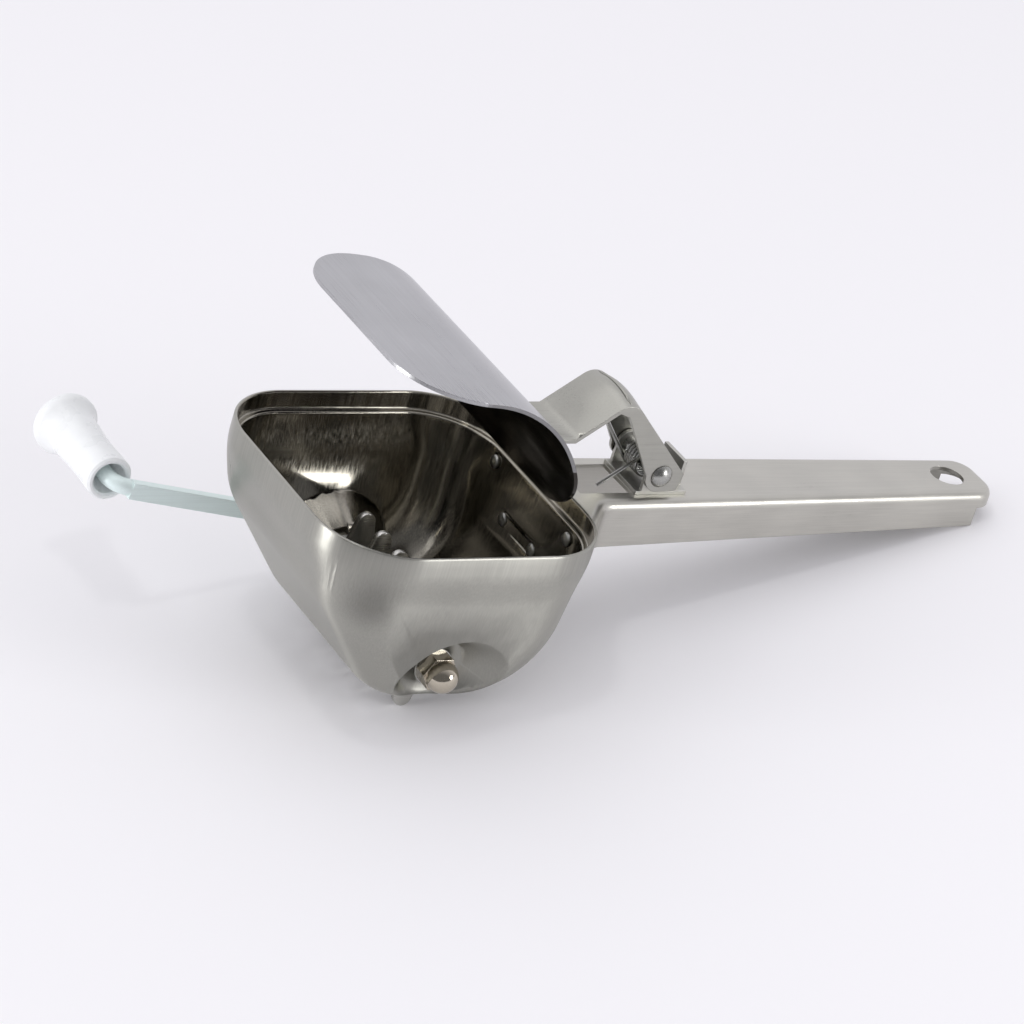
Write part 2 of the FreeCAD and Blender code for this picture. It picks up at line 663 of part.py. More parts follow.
def make_presser_arm():
    """Strap from the presser up over a round crest and down to the hinge in two legs."""
    body = new_body("presser_arm")
    sheet_edge = "Dims.arm_sheet"
    # the legs fall from the crest in a straight line to a heel behind the hinge pin
    heel_x = "(Dims.pivot_along + Dims.leg_back)"
    heel_z = "(Dims.pivot_up + Dims.leg_heel)"
    fall = "atan((Dims.crest_up - %s) / (%s - Dims.crest_along))" % (heel_z, heel_x)
    rise = "tan(Dims.strap_rise_angle)"
    legs = new_sketch(body, "leg_side", "XZ_Plane")
    outline(legs, [("Dims.crest_along", "Dims.crest_up"),
                   ("Dims.crest_along - Dims.leg_root", "Dims.crest_up - Dims.leg_root * " + rise),
                   ("Dims.crest_along", "Dims.crest_up - Dims.leg_root - Dims.arm_sheet / 2"),
                   ("Dims.pivot_along - Dims.leg_lobe", "Dims.pivot_up", "Dims.leg_lobe", 1),
                   ("Dims.pivot_along", "Dims.pivot_up - Dims.leg_lobe"),
                   (heel_x + " - Dims.arm_sheet", "Dims.pivot_up - Dims.leg_lobe + Dims.arm_sheet / 2"),
                   (heel_x, heel_z)])
    pad(body, legs, "leg_block", "Dims.arm_width", both_ways=True)
    gap = new_sketch(body, "leg_gap", "XZ_Plane")
    before = "(Dims.crest_along - 2 * Dims.leg_root)"
    behind = "(%s + Dims.leg_back)" % heel_x
    below = "(Dims.pivot_up - 2 * Dims.leg_lobe)"
    above = "(Dims.crest_up + Dims.leg_root)"
    outline(gap, [(before, below), (behind, below), (behind, above), (before, above)])
    pocket(body, gap, "legs_apart", "Dims.arm_width - 2 * Dims.arm_sheet")
    # the strap stands on the presser's curl, runs out level and rises to the crest
    strap = new_sketch(body, "strap_side", "XZ_Plane")
    outside = "(Dims.press_curl + Dims.running_gap)"
    foot = "(%s + Dims.strap_foot_angle)" % CURL_END
    foot_top = "(%s + Dims.strap_flange / Dims.press_curl * 180 / pi)" % foot
    under = "(%s)" % on_curl(outside, foot)[1]
    level = "(%s + %s)" % (under, sheet_edge)
    corner_x = "(%s + (%s + %s) * cos(%s))" % (CURL_X, outside, sheet_edge, foot)
    knee_x = "(Dims.crest_along - (Dims.crest_up - %s) / %s)" % (level, rise)
    slant = "(%s / cos(Dims.strap_rise_angle))" % sheet_edge
    under_knee = "(Dims.crest_along - (Dims.crest_up - %s - %s) / %s)" % (slant, under, rise)
    # the crest's underside lies where the undersides of the strap and of the legs' top meet
    crest_under_x = "(Dims.crest_along + (%s - %s / cos(%s)) / (tan(%s) + %s))" % (
        slant, sheet_edge, fall, fall, rise)
    crest_under_z = "(Dims.crest_up - %s + (%s - Dims.crest_along) * %s)" % (slant, crest_under_x, rise)
    end_x = "(Dims.crest_along + Dims.strap_flat * cos(%s))" % fall
    end_z = "(Dims.crest_up - Dims.strap_flat * sin(%s))" % fall
    under_end = ("%s - %s * sin(%s)" % (end_x, sheet_edge, fall),
                 "%s - %s * cos(%s)" % (end_z, sheet_edge, fall))
    outline(strap, [on_curl(outside, foot) + (outside, 1), on_curl(outside, foot_top),
                    on_curl("%s + %s" % (outside, sheet_edge), foot_top), (corner_x, level), (knee_x, level),
                    ("Dims.crest_along", "Dims.crest_up"), (end_x, end_z), under_end,
                    (crest_under_x, crest_under_z), (under_knee, under)])
    pad(body, strap, "strap", "Dims.arm_width", both_ways=True)
    top = size("crest_up")
    fillet(body, "crest_bend", "Dims.crest_round",
           lambda e: along(e, Vector(0, 1, 0)) and abs(centre(e).z - top) < 0.01)
    bore = new_sketch(body, "leg_bore", "XZ_Plane")
    circle(bore, "Dims.pivot_along", "Dims.pivot_up", "Dims.pin_radius + Dims.running_gap")
    pocket(body, bore, "leg_holes", "2 * Dims.arm_width")
    keep("presser_arm", body)


def presser_place():
    """Place of the presser's free edge, local X down the flat part."""
    return Placement(Vector(size("press_start_along"), 0, size("press_start_up")),
                     Rotation(Vector(0, 1, 0), size("press_slope_angle")))


def make_presser_plate():
    body = new_body("presser_plate")
    profile = new_sketch(body, "presser_profile", "XZ_Plane")
    inner = "(Dims.press_curl - Dims.press_sheet)"
    turn = "Dims.press_turn_angle"
    outline(profile, [("0", "0"), ("0", "-Dims.press_sheet"),
                      ("Dims.press_flat", "-Dims.press_sheet", inner, -1),
                      ("Dims.press_flat + %s * sin(%s)" % (inner, turn),
                       "-Dims.press_curl + %s * cos(%s)" % (inner, turn)),
                      ("Dims.press_flat + Dims.press_curl * sin(%s)" % turn,
                       "-Dims.press_curl + Dims.press_curl * cos(%s)" % turn, "Dims.press_curl", 1),
                      ("Dims.press_flat", "0")])
    pad(body, profile, "presser_sheet", "Dims.press_width", both_ways=True)
    half = size("press_width") / 2
    thick = size("press_sheet")
    fillet(body, "presser_corners", "Dims.press_corner",
           lambda e: abs(abs(centre(e).y) - half) < 1e-3 and abs(e.Length - thick) < 1e-3
           and centre(e).x < 1)
    # the curl's end stands nearly upright, so its corners are rounded across X
    low = "(-Dims.press_curl + %s * cos(%s))" % (inner, turn)
    ends = new_sketch(body, "curl_corners", "YZ_Plane", "Dims.press_flat + Dims.press_curl / 2")
    edge = "(Dims.press_width / 2)"
    straight = "(%s - Dims.curl_corner)" % edge
    top = low + " + Dims.curl_corner"
    clear = low + " - Dims.arm_width"
    for side, bulge in (("", 1), ("-", -1)):
        outline(ends, [(side + edge, top, "Dims.curl_corner", -bulge), (side + straight, low),
                       (side + straight, clear), (side + "Dims.press_width", clear),
                       (side + "Dims.press_width", top)])
    pocket(body, ends, "curl_rounding", "Dims.press_curl", both_ways=True)
    keep("presser_plate", body, presser_place())


def make_spring():
    """Torsion spring round the hinge pin, one leg under the crest and one toward the window."""
    coil = size("spring_coil")
    wire = size("spring_wire") / 2
    width = size("spring_pitch") * size("spring_turn_count")
    helix = Part.makeHelix(size("spring_pitch"), width, coil)
    start = helix.Vertexes[0].Point
    end = helix.Vertexes[-1].Point
    swing = math.radians(size("spring_turn_count") * 360)
    leaving = Vector(-math.sin(swing), math.cos(swing), 0)
    lower = Part.makeLine(start - Vector(0, size("spring_foot"), 0), start)
    upper = Part.makeLine(end, end + leaving * size("spring_reach"))
    path = Part.Wire([lower] + helix.Edges + [upper])
    section = Part.Wire([Part.makeCircle(wire, lower.Vertexes[0].Point, Vector(0, 1, 0))])
    spring = doc.addObject("Part::Feature", "torsion_spring")
    spring.Shape = path.makePipeShell([section], True, True)
    spin = Placement(Vector(0, 0, 0), Rotation(Vector(0, 0, 1), size("spring_spin_angle")))
    keep("torsion_spring", spring, pivot_place("-%r" % (width / 2)).multiply(spin))


def star_blade(number):
    """Star of four tapering teeth, a flat stamping square to the shaft."""
    name = "blade_%d" % number
    body = new_body(name)
    disc = new_sketch(body, name + "_disc", "XZ_Plane")
    circle(disc, "0", "0", "Dims.blade_root")
    circle(disc, "0", "0", "Dims.shaft_radius")
    pad(body, disc, name + "_hub", "Dims.blade_thick", both_ways=True)
    tooth = new_sketch(body, name + "_tooth", "XZ_Plane")
    inner = "(Dims.blade_root - Dims.blade_thick / 2)"
    end = "(Dims.blade_tip - Dims.tooth_end / 2)"
    outline(tooth, [("-Dims.tooth_base / 2", inner), ("Dims.tooth_base / 2", inner),
                    ("Dims.tooth_end / 2", end, "1.0001 * Dims.tooth_end / 2", 1),
                    ("-Dims.tooth_end / 2", end)])
    prong = pad(body, tooth, name + "_prong", "Dims.blade_thick", both_ways=True)
    star = body.newObject("PartDesign::PolarPattern", name + "_star")
    star.Originals = [prong]
    line = next(f for f in body.Origin.OriginFeatures if f.Role == "Y_Axis")
    star.Axis = (line, [""])
    star.Angle = 360
    bind(star, Occurrences="Dims.tooth_count")
    body.Tip = star
    doc.recompute()
    y = value(blade_station(number))
    keep(name, body, Placement(Vector(size("shaft_along"), y, -size("shaft_drop")), Rotation()))


# Stations along the shaft, as expressions in the hopper's axes.
FLOOR = "(Dims.mouth_across / 2 - Dims.recess_depth)"
BUSH_IN = "(%s - Dims.sheet_thick - Dims.bush_flange_thick)" % FLOOR
BUSH_OUT = "(%s + Dims.bush_proud)" % FLOOR
PACK_END = "(Dims.blade_pitch * (Dims.blade_count - 1) / 2 + Dims.blade_thick / 2)"
ARM_IN = "(Dims.mouth_across / 2 + Dims.rim_step + Dims.crank_clear)"
EYE_OUT = "(%s + Dims.crank_thick)" % ARM_IN
NUT_FOOT = "(%s + Dims.end_play + Dims.washer_thick)" % BUSH_OUT


def ring(name, radius, start, end, bore="Dims.shaft_radius"):
    """Plain ring on the shaft between two stations."""
    tube = cylinder(name + "_blank", radius, "(%s) - (%s)" % (end, start),
                    ("Dims.shaft_along", start, "-Dims.shaft_drop"), bore)
    keep(name, tube)


def make_rings():
    count = int(size("blade_count"))
    for i in range(1, count):
        foot = "(%s + Dims.blade_thick / 2)" % blade_station(i)
        ring("spacer_%d" % i, "Dims.spacer_radius", foot, foot + " + Dims.blade_pitch - Dims.blade_thick")
    ring("end_spacer_front", "Dims.spacer_radius", "-%s + Dims.end_play" % BUSH_IN, "-" + PACK_END)
    ring("end_spacer_back", "Dims.spacer_radius", PACK_END, "%s - Dims.end_play" % BUSH_IN)
    ring("front_washer", "Dims.washer_radius", "-" + NUT_FOOT, "-%s + Dims.washer_thick" % NUT_FOOT)
    ring("crank_hub", "Dims.hub_radius", "%s + Dims.end_play" % BUSH_OUT, ARM_IN)


def make_bush(name, side):
    """Flanged bush in the floor of a recess, its flange inside the hopper."""
    body = new_body(name)
    half = new_sketch(body, name + "_half", "XZ_Plane")
    bore = "(Dims.shaft_radius + Dims.running_gap)"
    outline(half, [(bore, BUSH_IN), ("Dims.bush_flange", BUSH_IN),
                   ("Dims.bush_flange", "%s + Dims.bush_flange_thick" % BUSH_IN),
                   ("Dims.bush_radius", "%s + Dims.bush_flange_thick" % BUSH_IN),
                   ("Dims.bush_radius", BUSH_OUT), (bore, BUSH_OUT)])
    revolve(body, half, name + "_turned", "V_Axis")
    keep(name, body, Placement(Vector(size("shaft_along"), 0, -size("shaft_drop")),
                               Rotation(Vector(1, 0, 0), -90 * side)))


def make_shaft():
    body = new_body("rotor_shaft")
    half = new_sketch(body, "shaft_half", "XZ_Plane")
    front = "(%s + Dims.nut_hex)" % NUT_FOOT
    dome = "((Dims.head_radius ^ 2 + Dims.head_height ^ 2) / (2 * Dims.head_height))"
    outline(half, [("0", "-" + front), ("Dims.shaft_radius", "-" + front), ("Dims.shaft_radius", EYE_OUT),
                   ("Dims.head_radius", EYE_OUT, dome, 1), ("0", EYE_OUT + " + Dims.head_height")])
    revolve(body, half, "shaft_turned", "V_Axis")
    keep("rotor_shaft", body, Placement(Vector(size("shaft_along"), 0, -size("shaft_drop")),
                                        Rotation(Vector(1, 0, 0), -90)))


def make_nut():
    """Acorn nut: a hexagon under a dome, with a blind bore for the shaft."""
    body = new_body("acorn_nut")
    hexagon = new_sketch(body, "nut_hexagon", "XY_Plane")
    corner = "(Dims.nut_flats / 2 / cos(30))"
    outline(hexagon, [("%s * cos(%d)" % (corner, angle), "%s * sin(%d)" % (corner, angle))
                      for angle in range(0, 360, 60)])
    pad(body, hexagon, "nut_prism", "Dims.nut_hex")
    dome = new_sketch(body, "nut_dome_half", "XZ_Plane")
    ball = "(Dims.nut_flats / 2 - 0.1)"
    straight = "(Dims.nut_length - %s)" % ball
    outline(dome, [("0", "0"), (ball, "0"), (ball, straight, ball, 1), ("0", "Dims.nut_length")])
    revolve(body, dome, "nut_dome", "V_Axis")
    bore = new_sketch(body, "nut_bore", "XY_Plane")
    circle(bore, "0", "0", "Dims.shaft_radius")
    pocket(body, bore, "nut_blind_bore", "Dims.nut_hex", both_ways=False)
    keep("acorn_nut", body, Placement(Vector(size("shaft_along"), -value(NUT_FOOT), -size("shaft_drop")),
                                      Rotation(Vector(1, 0, 0), 90)))


def crank_place():
    """Place on the shaft at the arm's inner face, local X toward the knob and local Y out."""
    turn = Rotation(Vector(0, 1, 0), 180 + size("crank_angle"))
    return Placement(Vector(size("shaft_along"), value(ARM_IN), -size("shaft_drop")), turn)


def make_crank():
    """Flat bar with a round eye on the shaft, its other end bent to a rod."""
    body = new_body("crank_arm")
    bar_end = "(Dims.crank_throw - Dims.elbow_radius)"
    plan = new_sketch(body, "bar_plan", "XZ_Plane", "-Dims.crank_thick")
    half = "(Dims.crank_width / 2)"
    outline(plan, [("0", "-" + half), (bar_end, "-" + half), (bar_end, half), ("0", half)])
    pad(body, plan, "bar", "Dims.crank_thick")
    disc = new_sketch(body, "eye_disc", "XZ_Plane", "-Dims.crank_thick")
    circle(disc, "0", "0", "Dims.hub_radius")
    pad(body, disc, "eye_plate", "Dims.crank_thick")
    eye = new_sketch(body, "bar_eye", "XZ_Plane")
    circle(eye, "0", "0", "Dims.shaft_radius")
    pocket(body, eye, "eye", "4 * Dims.crank_thick")
    route = new_sketch(body, "rod_route", "XY_Plane")
    middle = "Dims.rod_radius"
    elbow_end = middle + " + Dims.elbow_radius"
    rod_end = "(%s + Dims.knob_length)" % middle
    corner = Vector(value(bar_end), value(middle), 0)
    bend = size("elbow_radius")
    root = "(%s - Dims.rod_radius)" % bar_end
    route.addGeometry(Part.LineSegment(Vector(value(root), corner.y, 0), corner), False)
    route.addGeometry(Part.Arc(corner, corner + Vector(bend * math.sin(math.pi / 4),
                                                       bend * (1 - math.cos(math.pi / 4)), 0),
                               corner + Vector(bend, bend, 0)), False)
    route.addGeometry(Part.LineSegment(corner + Vector(bend, bend, 0),
                                       Vector(size("crank_throw"), value(rod_end), 0)), False)
    fix_point(route, 0, 1, root, middle)
    fix_point(route, 0, 2, bar_end, middle)
    fix_point(route, 1, arc_start(route, 1, corner), bar_end, middle)
    fix_point(route, 1, 3 - arc_start(route, 1, corner), "Dims.crank_throw", elbow_end)
    fix_point(route, 2, 1, "Dims.crank_throw", elbow_end)
    fix_point(route, 2, 2, "Dims.crank_throw", rod_end)
    held = route.addConstraint(Sketcher.Constraint("Radius", 1, bend))
    route.setExpression("Constraints[%d]" % held, "Dims.elbow_radius")
    section = new_sketch(body, "rod_section", "YZ_Plane", root)
    circle(section, middle, "0", "Dims.rod_radius")
    doc.recompute()
    rod = body.newObject("PartDesign::AdditivePipe", "rod")
    rod.Profile = section
    rod.Spine = (route, ["Edge1", "Edge2", "Edge3"])
    doc.recompute()
    keep("crank_arm", body, crank_place())


def knob_place():
    out = Placement(Vector(size("crank_throw"), 0, 0), Rotation(Vector(1, 0, 0), -90))
    return crank_place().multiply(out)


def make_knob():
    """Turned plastic grip: a plain ring near the arm, a waist and a flared lip."""
    body = new_body("knob")
    half = new_sketch(body, "knob_half", "XZ_Plane")
    bore = "(Dims.rod_radius + 2 * Dims.running_gap)"
    foot = "(2 * Dims.rod_radius + Dims.end_play)"
    far = "(Dims.rod_radius + Dims.knob_length + Dims.knob_cap)"
    dish = "(2.5 * Dims.rod_radius)"
    dish_floor = "(%s - 1.5 * Dims.knob_cap)" % far
    bevel = "(0.75 * Dims.knob_cap)"
    elbow_top = "(Dims.rod_radius + Dims.elbow_radius)"
    outline(half, [("Dims.knob_mouth", foot), ("Dims.knob_ring", foot),
                   ("Dims.knob_ring", foot + " + Dims.rod_radius", "2 * Dims.knob_length", -1),
                   ("Dims.knob_waist", "0.72 * Dims.knob_length", "2 * Dims.knob_lip", -1),
                   ("Dims.knob_lip", far + " - Dims.knob_rim"), ("Dims.knob_lip", "%s - %s" % (far, bevel)),
                   ("Dims.knob_lip - " + bevel, far), (dish, far), (dish, dish_floor), (bore, dish_floor),
                   (bore, elbow_top + " + 1.5 * Dims.rod_radius"), ("Dims.knob_mouth", elbow_top)])
    revolve(body, half, "knob_turned", "V_Axis")
    keep("knob", body, knob_place())


def make_knob_washer():
    """Push-on washer that holds the knob on the rod."""
    body = new_body("knob_washer")
    half = new_sketch(body, "knob_washer_half", "XZ_Plane")
    foot = "(Dims.rod_radius + Dims.knob_length - Dims.knob_cap / 3)"
    top = "(%s + Dims.washer_thick)" % foot
    edge = "(2 * Dims.rod_radius)"
    outline(half, [("Dims.rod_radius", foot), (edge, foot), (edge, top), ("Dims.rod_radius", top)])
    revolve(body, half, "knob_washer_turned", "V_Axis")
    keep("knob_washer", body, knob_place())


make_hopper()
make_saddle()
make_saddle_rivets()
make_handle()
make_bracket()
make_hinge_pin()
make_presser_plate()
make_presser_arm()
make_spring()
for blade_number in range(1, int(size("blade_count")) + 1):
    star_blade(blade_number)
make_rings()
make_bush("bush_front", -1)
make_bush("bush_back", 1)
make_shaft()
make_nut()
make_crank()
make_knob()
make_knob_washer()
doc.recompute()

# The frame's origin is on the table, at the bottom centre of the whole mill's box.
extent = Part.makeCompound([feature.Shape for feature in nodes.values()]).optimalBoundingBox(False)
to_centre = Placement(Vector(-extent.Center.x, -extent.Center.y, -extent.ZMin), Rotation())
for feature in nodes.values():
    feature.Placement = to_centre.multiply(feature.Placement)
doc.recompute()

failed = [o.Label for o in doc.Objects if "Invalid" in o.State or "Error" in o.State]
if failed:
    raise RuntimeError("features failed: " + ", ".join(failed))
for node, feature in nodes.items():
    if feature.Shape.isNull() or not feature.Shape.isValid():
        raise RuntimeError("bad shape: " + node)

os.makedirs("parts", exist_ok=True)
for node, feature in nodes.items():
    feature.Shape.exportStep("parts/%s.step" % node)
print(len(nodes), "nodes")
print("lean %.3f degrees, lift %.3f mm, shift %s" % (math.degrees(lean), lift, to_centre.Base))
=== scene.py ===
"""Dresses the CAD model of a herb mill: finishes, drawn hopper, blades, spring, grip and studio."""

import json
import math
from collections import namedtuple

import bmesh
import bpy
from bpy.props import FloatProperty, FloatVectorProperty, IntProperty, PointerProperty
from mathutils import Matrix, Vector


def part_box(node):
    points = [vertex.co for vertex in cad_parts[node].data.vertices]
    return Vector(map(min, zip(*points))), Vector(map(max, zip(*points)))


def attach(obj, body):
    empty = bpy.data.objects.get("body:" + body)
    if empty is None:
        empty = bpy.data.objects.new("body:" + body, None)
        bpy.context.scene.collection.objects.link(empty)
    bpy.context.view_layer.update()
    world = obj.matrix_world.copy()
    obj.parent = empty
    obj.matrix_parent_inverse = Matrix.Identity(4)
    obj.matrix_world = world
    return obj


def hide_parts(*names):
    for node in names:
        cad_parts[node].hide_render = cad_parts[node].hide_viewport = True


bl_info = {
    "name": "Rotary herb mill",
    "version": (1, 0, 0),
    "blender": (4, 5, 0),
    "location": "View3D > Sidebar > Herb mill",
    "description": "Finishes, blades, spring, grip and studio for a hand-cranked herb mill",
    "category": "Add Mesh",
}

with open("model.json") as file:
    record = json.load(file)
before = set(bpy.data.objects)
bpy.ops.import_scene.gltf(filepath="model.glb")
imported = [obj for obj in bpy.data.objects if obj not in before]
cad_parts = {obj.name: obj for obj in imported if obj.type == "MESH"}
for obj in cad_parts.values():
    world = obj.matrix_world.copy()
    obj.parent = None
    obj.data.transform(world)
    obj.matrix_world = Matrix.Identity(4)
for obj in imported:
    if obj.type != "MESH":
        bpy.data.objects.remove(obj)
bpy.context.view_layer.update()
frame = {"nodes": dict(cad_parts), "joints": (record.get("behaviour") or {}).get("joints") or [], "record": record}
MM = 0.001

# The mill leans on its blade tips and on the end of its handle. The hanging hole is square to
# the handle, so its axis gives the lean.
HOLE_AXIS = frame["record"]["mounts"][0]["axis"]
LEAN = math.atan2(HOLE_AXIS[0], HOLE_AXIS[2])
JOINTS = {joint["name"]: joint for joint in frame["joints"]}
SHAFT = Vector(JOINTS["rotor_spin"]["pos_m"])
PIVOT = Vector(JOINTS["presser_swing"]["pos_m"])
PIN = Vector(JOINTS["knob_spin"]["pos_m"])
# from the frame to the hopper's own axes, which have their origin on the shaft and Z square to the mouth
TO_HOPPER = Matrix.Rotation(-LEAN, 4, "Y") @ Matrix.Translation(-SHAFT)
FROM_HOPPER = TO_HOPPER.inverted()


def colour(code):
    """Linear colour of an sRGB hex code such as 9C9C94."""
    channels = [int(code[i:i + 2], 16) / 255 for i in (0, 2, 4)]
    return tuple(c / 12.92 if c <= 0.04045 else ((c + 0.055) / 1.055) ** 2.4 for c in channels) + (1.0,)


def swatch(name, code):
    return FloatVectorProperty(name=name, description="Colour of the " + name.lower(), subtype="COLOR",
                               size=4, min=0, max=1, default=colour(code))


def length(name, about, size):
    """Property for a size in millimetres."""
    return FloatProperty(name=name, description=about, default=size * MM, unit="LENGTH", precision=5)


def number(name, about, size):
    return FloatProperty(name=name, description=about, default=size, precision=3)


def whole(name, about, size, least):
    return IntProperty(name=name, description=about, default=size, min=least)


def angle(name, about, degrees):
    return FloatProperty(name=name, description=about, subtype="ANGLE", default=math.radians(degrees))


def spot(name, about, *place):
    """Property for a place in metres."""
    return FloatVectorProperty(name=name, description=about, unit="LENGTH", size=3, default=place)


class MillFinishes(bpy.types.PropertyGroup):
    outside: swatch("Hopper's outside", "A8A7A0")
    # the inside's darker colour is painted shade on the same drawn steel
    inside: swatch("Hopper's inside", "9A968C")
    handle: swatch("Handle", "BDBBB4")
    presser: swatch("Presser plate", "B0B0B2")
    presser_underside_painted_shade: swatch("Presser's underside", "3E3B38")
    strap: swatch("Presser's strap", "A7A69F")
    # the underside's dark colour is painted shade beneath the plate
    fittings: swatch("Small sheet parts", "B9B8B2")
    turned: swatch("Turned parts", "A8A8A4")
    blades: swatch("Blades", "C8C7C2")
    nickel: swatch("Acorn nut", "BDB5A6")
    zinc: swatch("Crank bar", "E4F2F0")
    grip: swatch("Grip", "EFF1F1")
    acetal: swatch("Bushes", "DAD9D4")
    brush_width: length("Brush line", "Width of a brushed line as drawn, coarser than the real 0.1 mm", 0.3)
    brush_length: length("Brush length", "Length of a brushed line", 22)


class HopperSizes(bpy.types.PropertyGroup):
    along: length("Mouth, half length", "Half of the mouth along the handle at the foot of the rim", 35)
    across: length("Mouth, half width", "Half of the mouth across the handle at the foot of the rim", 36)
    mouth: spot("Mouth", "Middle of the mouth at the foot of the rim, seen from the shaft",
                -2.6 * MM, 0, 32.6 * MM)
    step: length("Rim step", "How far the rim stands out from the wall", 1.8)
    height: length("Rim height", "Height of the rim above the wall", 4.3)
    corner: length("Rim corner", "Radius of the rim's corners", 20)
    sheet: length("Sheet", "Thickness of the sheet", 0.9)
    blend: length("Blend", "Depth below the rim from which the wall is drawn out to it", 10.5)
    fillet: length("Ledge fillet", "Radius of the rounds of the ledge inside the rim", 0.5)
    ledge: number("Ledge", "Share of the sheet by which the ledge is narrower than the rim's step", 0.25)
    brow: number("Brow", "Share of the rim's height at which its outside has one more ring", 0.35)
    grid: length("Grid", "Length of an edge along the cut before it is split", 1.2)
    outer_rings: whole("Outer rings", "Rings of the wall outside", 14, 2)
    inner_rings: whole("Inner rings", "Rings of the wall inside", 10, 2)


class BladeSizes(bpy.types.PropertyGroup):
    count: whole("Blades", "Star blades on the shaft", 5, 1)
    teeth: whole("Teeth", "Teeth of each blade", 4, 3)
    pitch: length("Pitch", "Distance from blade to blade", 8.5)
    thickness: length("Thickness", "Thickness of the blade sheet", 1.6)
    tip: length("Tip radius", "Radius at the end of the teeth", 15.6)
    root: length("Root radius", "Radius of the ring that the teeth stand on", 7.0)
    base: length("Tooth base", "Width of a tooth at its foot", 8.0)
    end: length("Tooth end", "Width of a tooth at its round end", 4.6)
    bore: length("Bore", "Radius of the shaft", 2.5)
    edge: length("Edge", "Width of the sheared edge's rounding", 0.12)
    end_steps: whole("End steps", "Faces round a tooth's end", 12, 3)
    root_steps: whole("Root steps", "Faces between two teeth", 6, 2)


class SpringSizes(bpy.types.PropertyGroup):
    coil: length("Coil radius", "Radius at the middle of the wire", 3.5)
    wire: length("Wire radius", "Radius of the wire", 0.45)
    turns: number("Turns", "Turns of the coil", 5.745)
    turn_steps: whole("Turn steps", "Points in one turn", 40, 8)
    wire_sides: whole("Wire sides", "Faces round the wire", 14, 3)
    pitch: length("Pitch", "Distance from turn to turn", 1.1)
    foot: length("Foot", "Length of the leg that goes down into the handle", 14)
    reach: length("Reach", "Length of the leg under the crest", 23.6)
    spin: angle("Spin", "Angle of the first leg's turn", -126.9)


class ArmSizes(bpy.types.PropertyGroup):
    half_width: length("Half width", "Half of the strap's width between its legs", 7.8)
    crown: length("Crown", "Height of the strap's crown along its middle", 1.3)
    knee: length("Knee", "Where the strap starts to rise, in front of the shaft's middle", 31)
    ramp: length("Ramp", "Length over which the crown grows", 8)
    across_cuts: whole("Cuts across", "Strips in half of its width", 5, 1)
    ramp_cuts: whole("Cuts of the ramp", "Strips in the ramp", 4, 1)
    rivet: length("Rivet shank", "Radius of the saddle rivets' shanks", 1.5)
    rivet_high: length("High rivets", "Height of the high rivets above the shaft", 29.0)
    rivet_low: length("Low rivets", "Height of the low rivets above the shaft", 19.4)
    high_side: length("High rivets' side", "Distance of the high rivets from the middle", 17.6)
    low_side: length("Low rivets' side", "Distance of the low rivets from the middle", 7.0)
    head_share: number("Head share", "Share of the heads' overhang that is kept", 0.3)


class GripSizes(bpy.types.PropertyGroup):
    ring: length("Ring radius", "Radius next to the crank bar", 5.6)
    ring_length: length("Ring length", "Length of the plain ring next to the bar", 4)
    waist: length("Waist radius", "Radius at the narrow part", 5.35)
    waist_hollow: length("Waist hollow", "How far the waist is hollowed from a straight line", 0.25)
    neck: number("Neck", "Share of the length at which the lip starts to flare", 0.62)
    neck_gain: length("Neck gain", "How much wider than the waist the neck is", 0.5)
    neck_bead: length("Neck bead", "Length of the low step at the neck", 1)
    lip: length("Lip radius", "Radius of the flared lip", 7.9)
    lip_width: length("Lip width", "Width of the lip's rim", 2.2)
    lip_slope: length("Lip slope", "Distance from the flare's end to the lip's rim", 1.1)
    lip_hollow: length("Lip hollow", "How far the flare is hollowed from a straight line", 0.55)
    lip_edge: length("Lip edge", "Rounding of the lip's far edge", 1.2)
    dish: length("Dish radius", "Radius of the dished end", 4.4)
    dish_depth: length("Dish depth", "Depth of the dished end", 2.4)
    mouth: length("Mouth radius", "Radius of the bore's mouth at the bar", 4.0)
    mouth_depth: length("Mouth depth", "Depth of the mouth's straight part", 2.2)
    mouth_end: length("Mouth end", "Depth at which the mouth has narrowed to the bore", 4.7)
    bore: length("Bore radius", "Radius of the bore on the rod", 2.1)
    edge: length("Edge", "Rounding of the edges of mouth, ring and dish", 0.5)
    segments: whole("Segments", "Faces round the grip", 96, 12)


class StudioSizes(bpy.types.PropertyGroup):
    camera: spot("Camera", "Place of the camera", -0.50110, -0.83897, 0.68445)
    bearing: angle("Bearing", "Turn of the camera round the upright", 30.30)
    elevation: angle("Elevation", "Angle at which the camera looks down", 34.345)
    roll: angle("Roll", "Turn of the picture", 3.78)
    lens: number("Lens", "Focal length in millimetres", 173.74)
    sensor: number("Sensor", "Width of the sensor in millimetres", 36)
    floor: swatch("Floor", "F5F4F6")
    backdrop: swatch("Backdrop", "F6F5FA")
    room: swatch("Room behind the camera", "78787A")
    floor_light: number("Floor light", "Share of the backdrop's light that comes from all sides", 0.8)


# name, place and target in metres, width in metres and power in watts
LAMPS = (
    ("overhead softbox", (0.1, 0.35, 1.1), (0, 0, 0), 1.2, 1.6),
    ("side softbox", (-0.9, 0.2, 0.7), (0, 0, 0.03), 0.7, 0.8),
    ("low window", (0.6, -0.8, 0.25), (-0.05, 0, 0.03), 0.4, 3.2),
    ("left strip", (-0.93, 0.19, 0.14), (-0.05, 0, 0.03), 0.28, 2.3),
    ("ceiling lamp", (-0.25, -0.1, 1.0), (-0.05, 0, 0.05), 0.1, 0.5),
)
FLOOR_CORNERS = [(-2, -2, 0), (2.5, -2, 0), (2.5, 2.5, 0), (-2, 2.5, 0)]
# the room turns from dim to pale over this range of a look's share toward its lit side
LIT_SIDE = (0.48, 0.84, 0.1)
LIT_RANGE = (-0.5, 0.45)

TINY = 1e-9
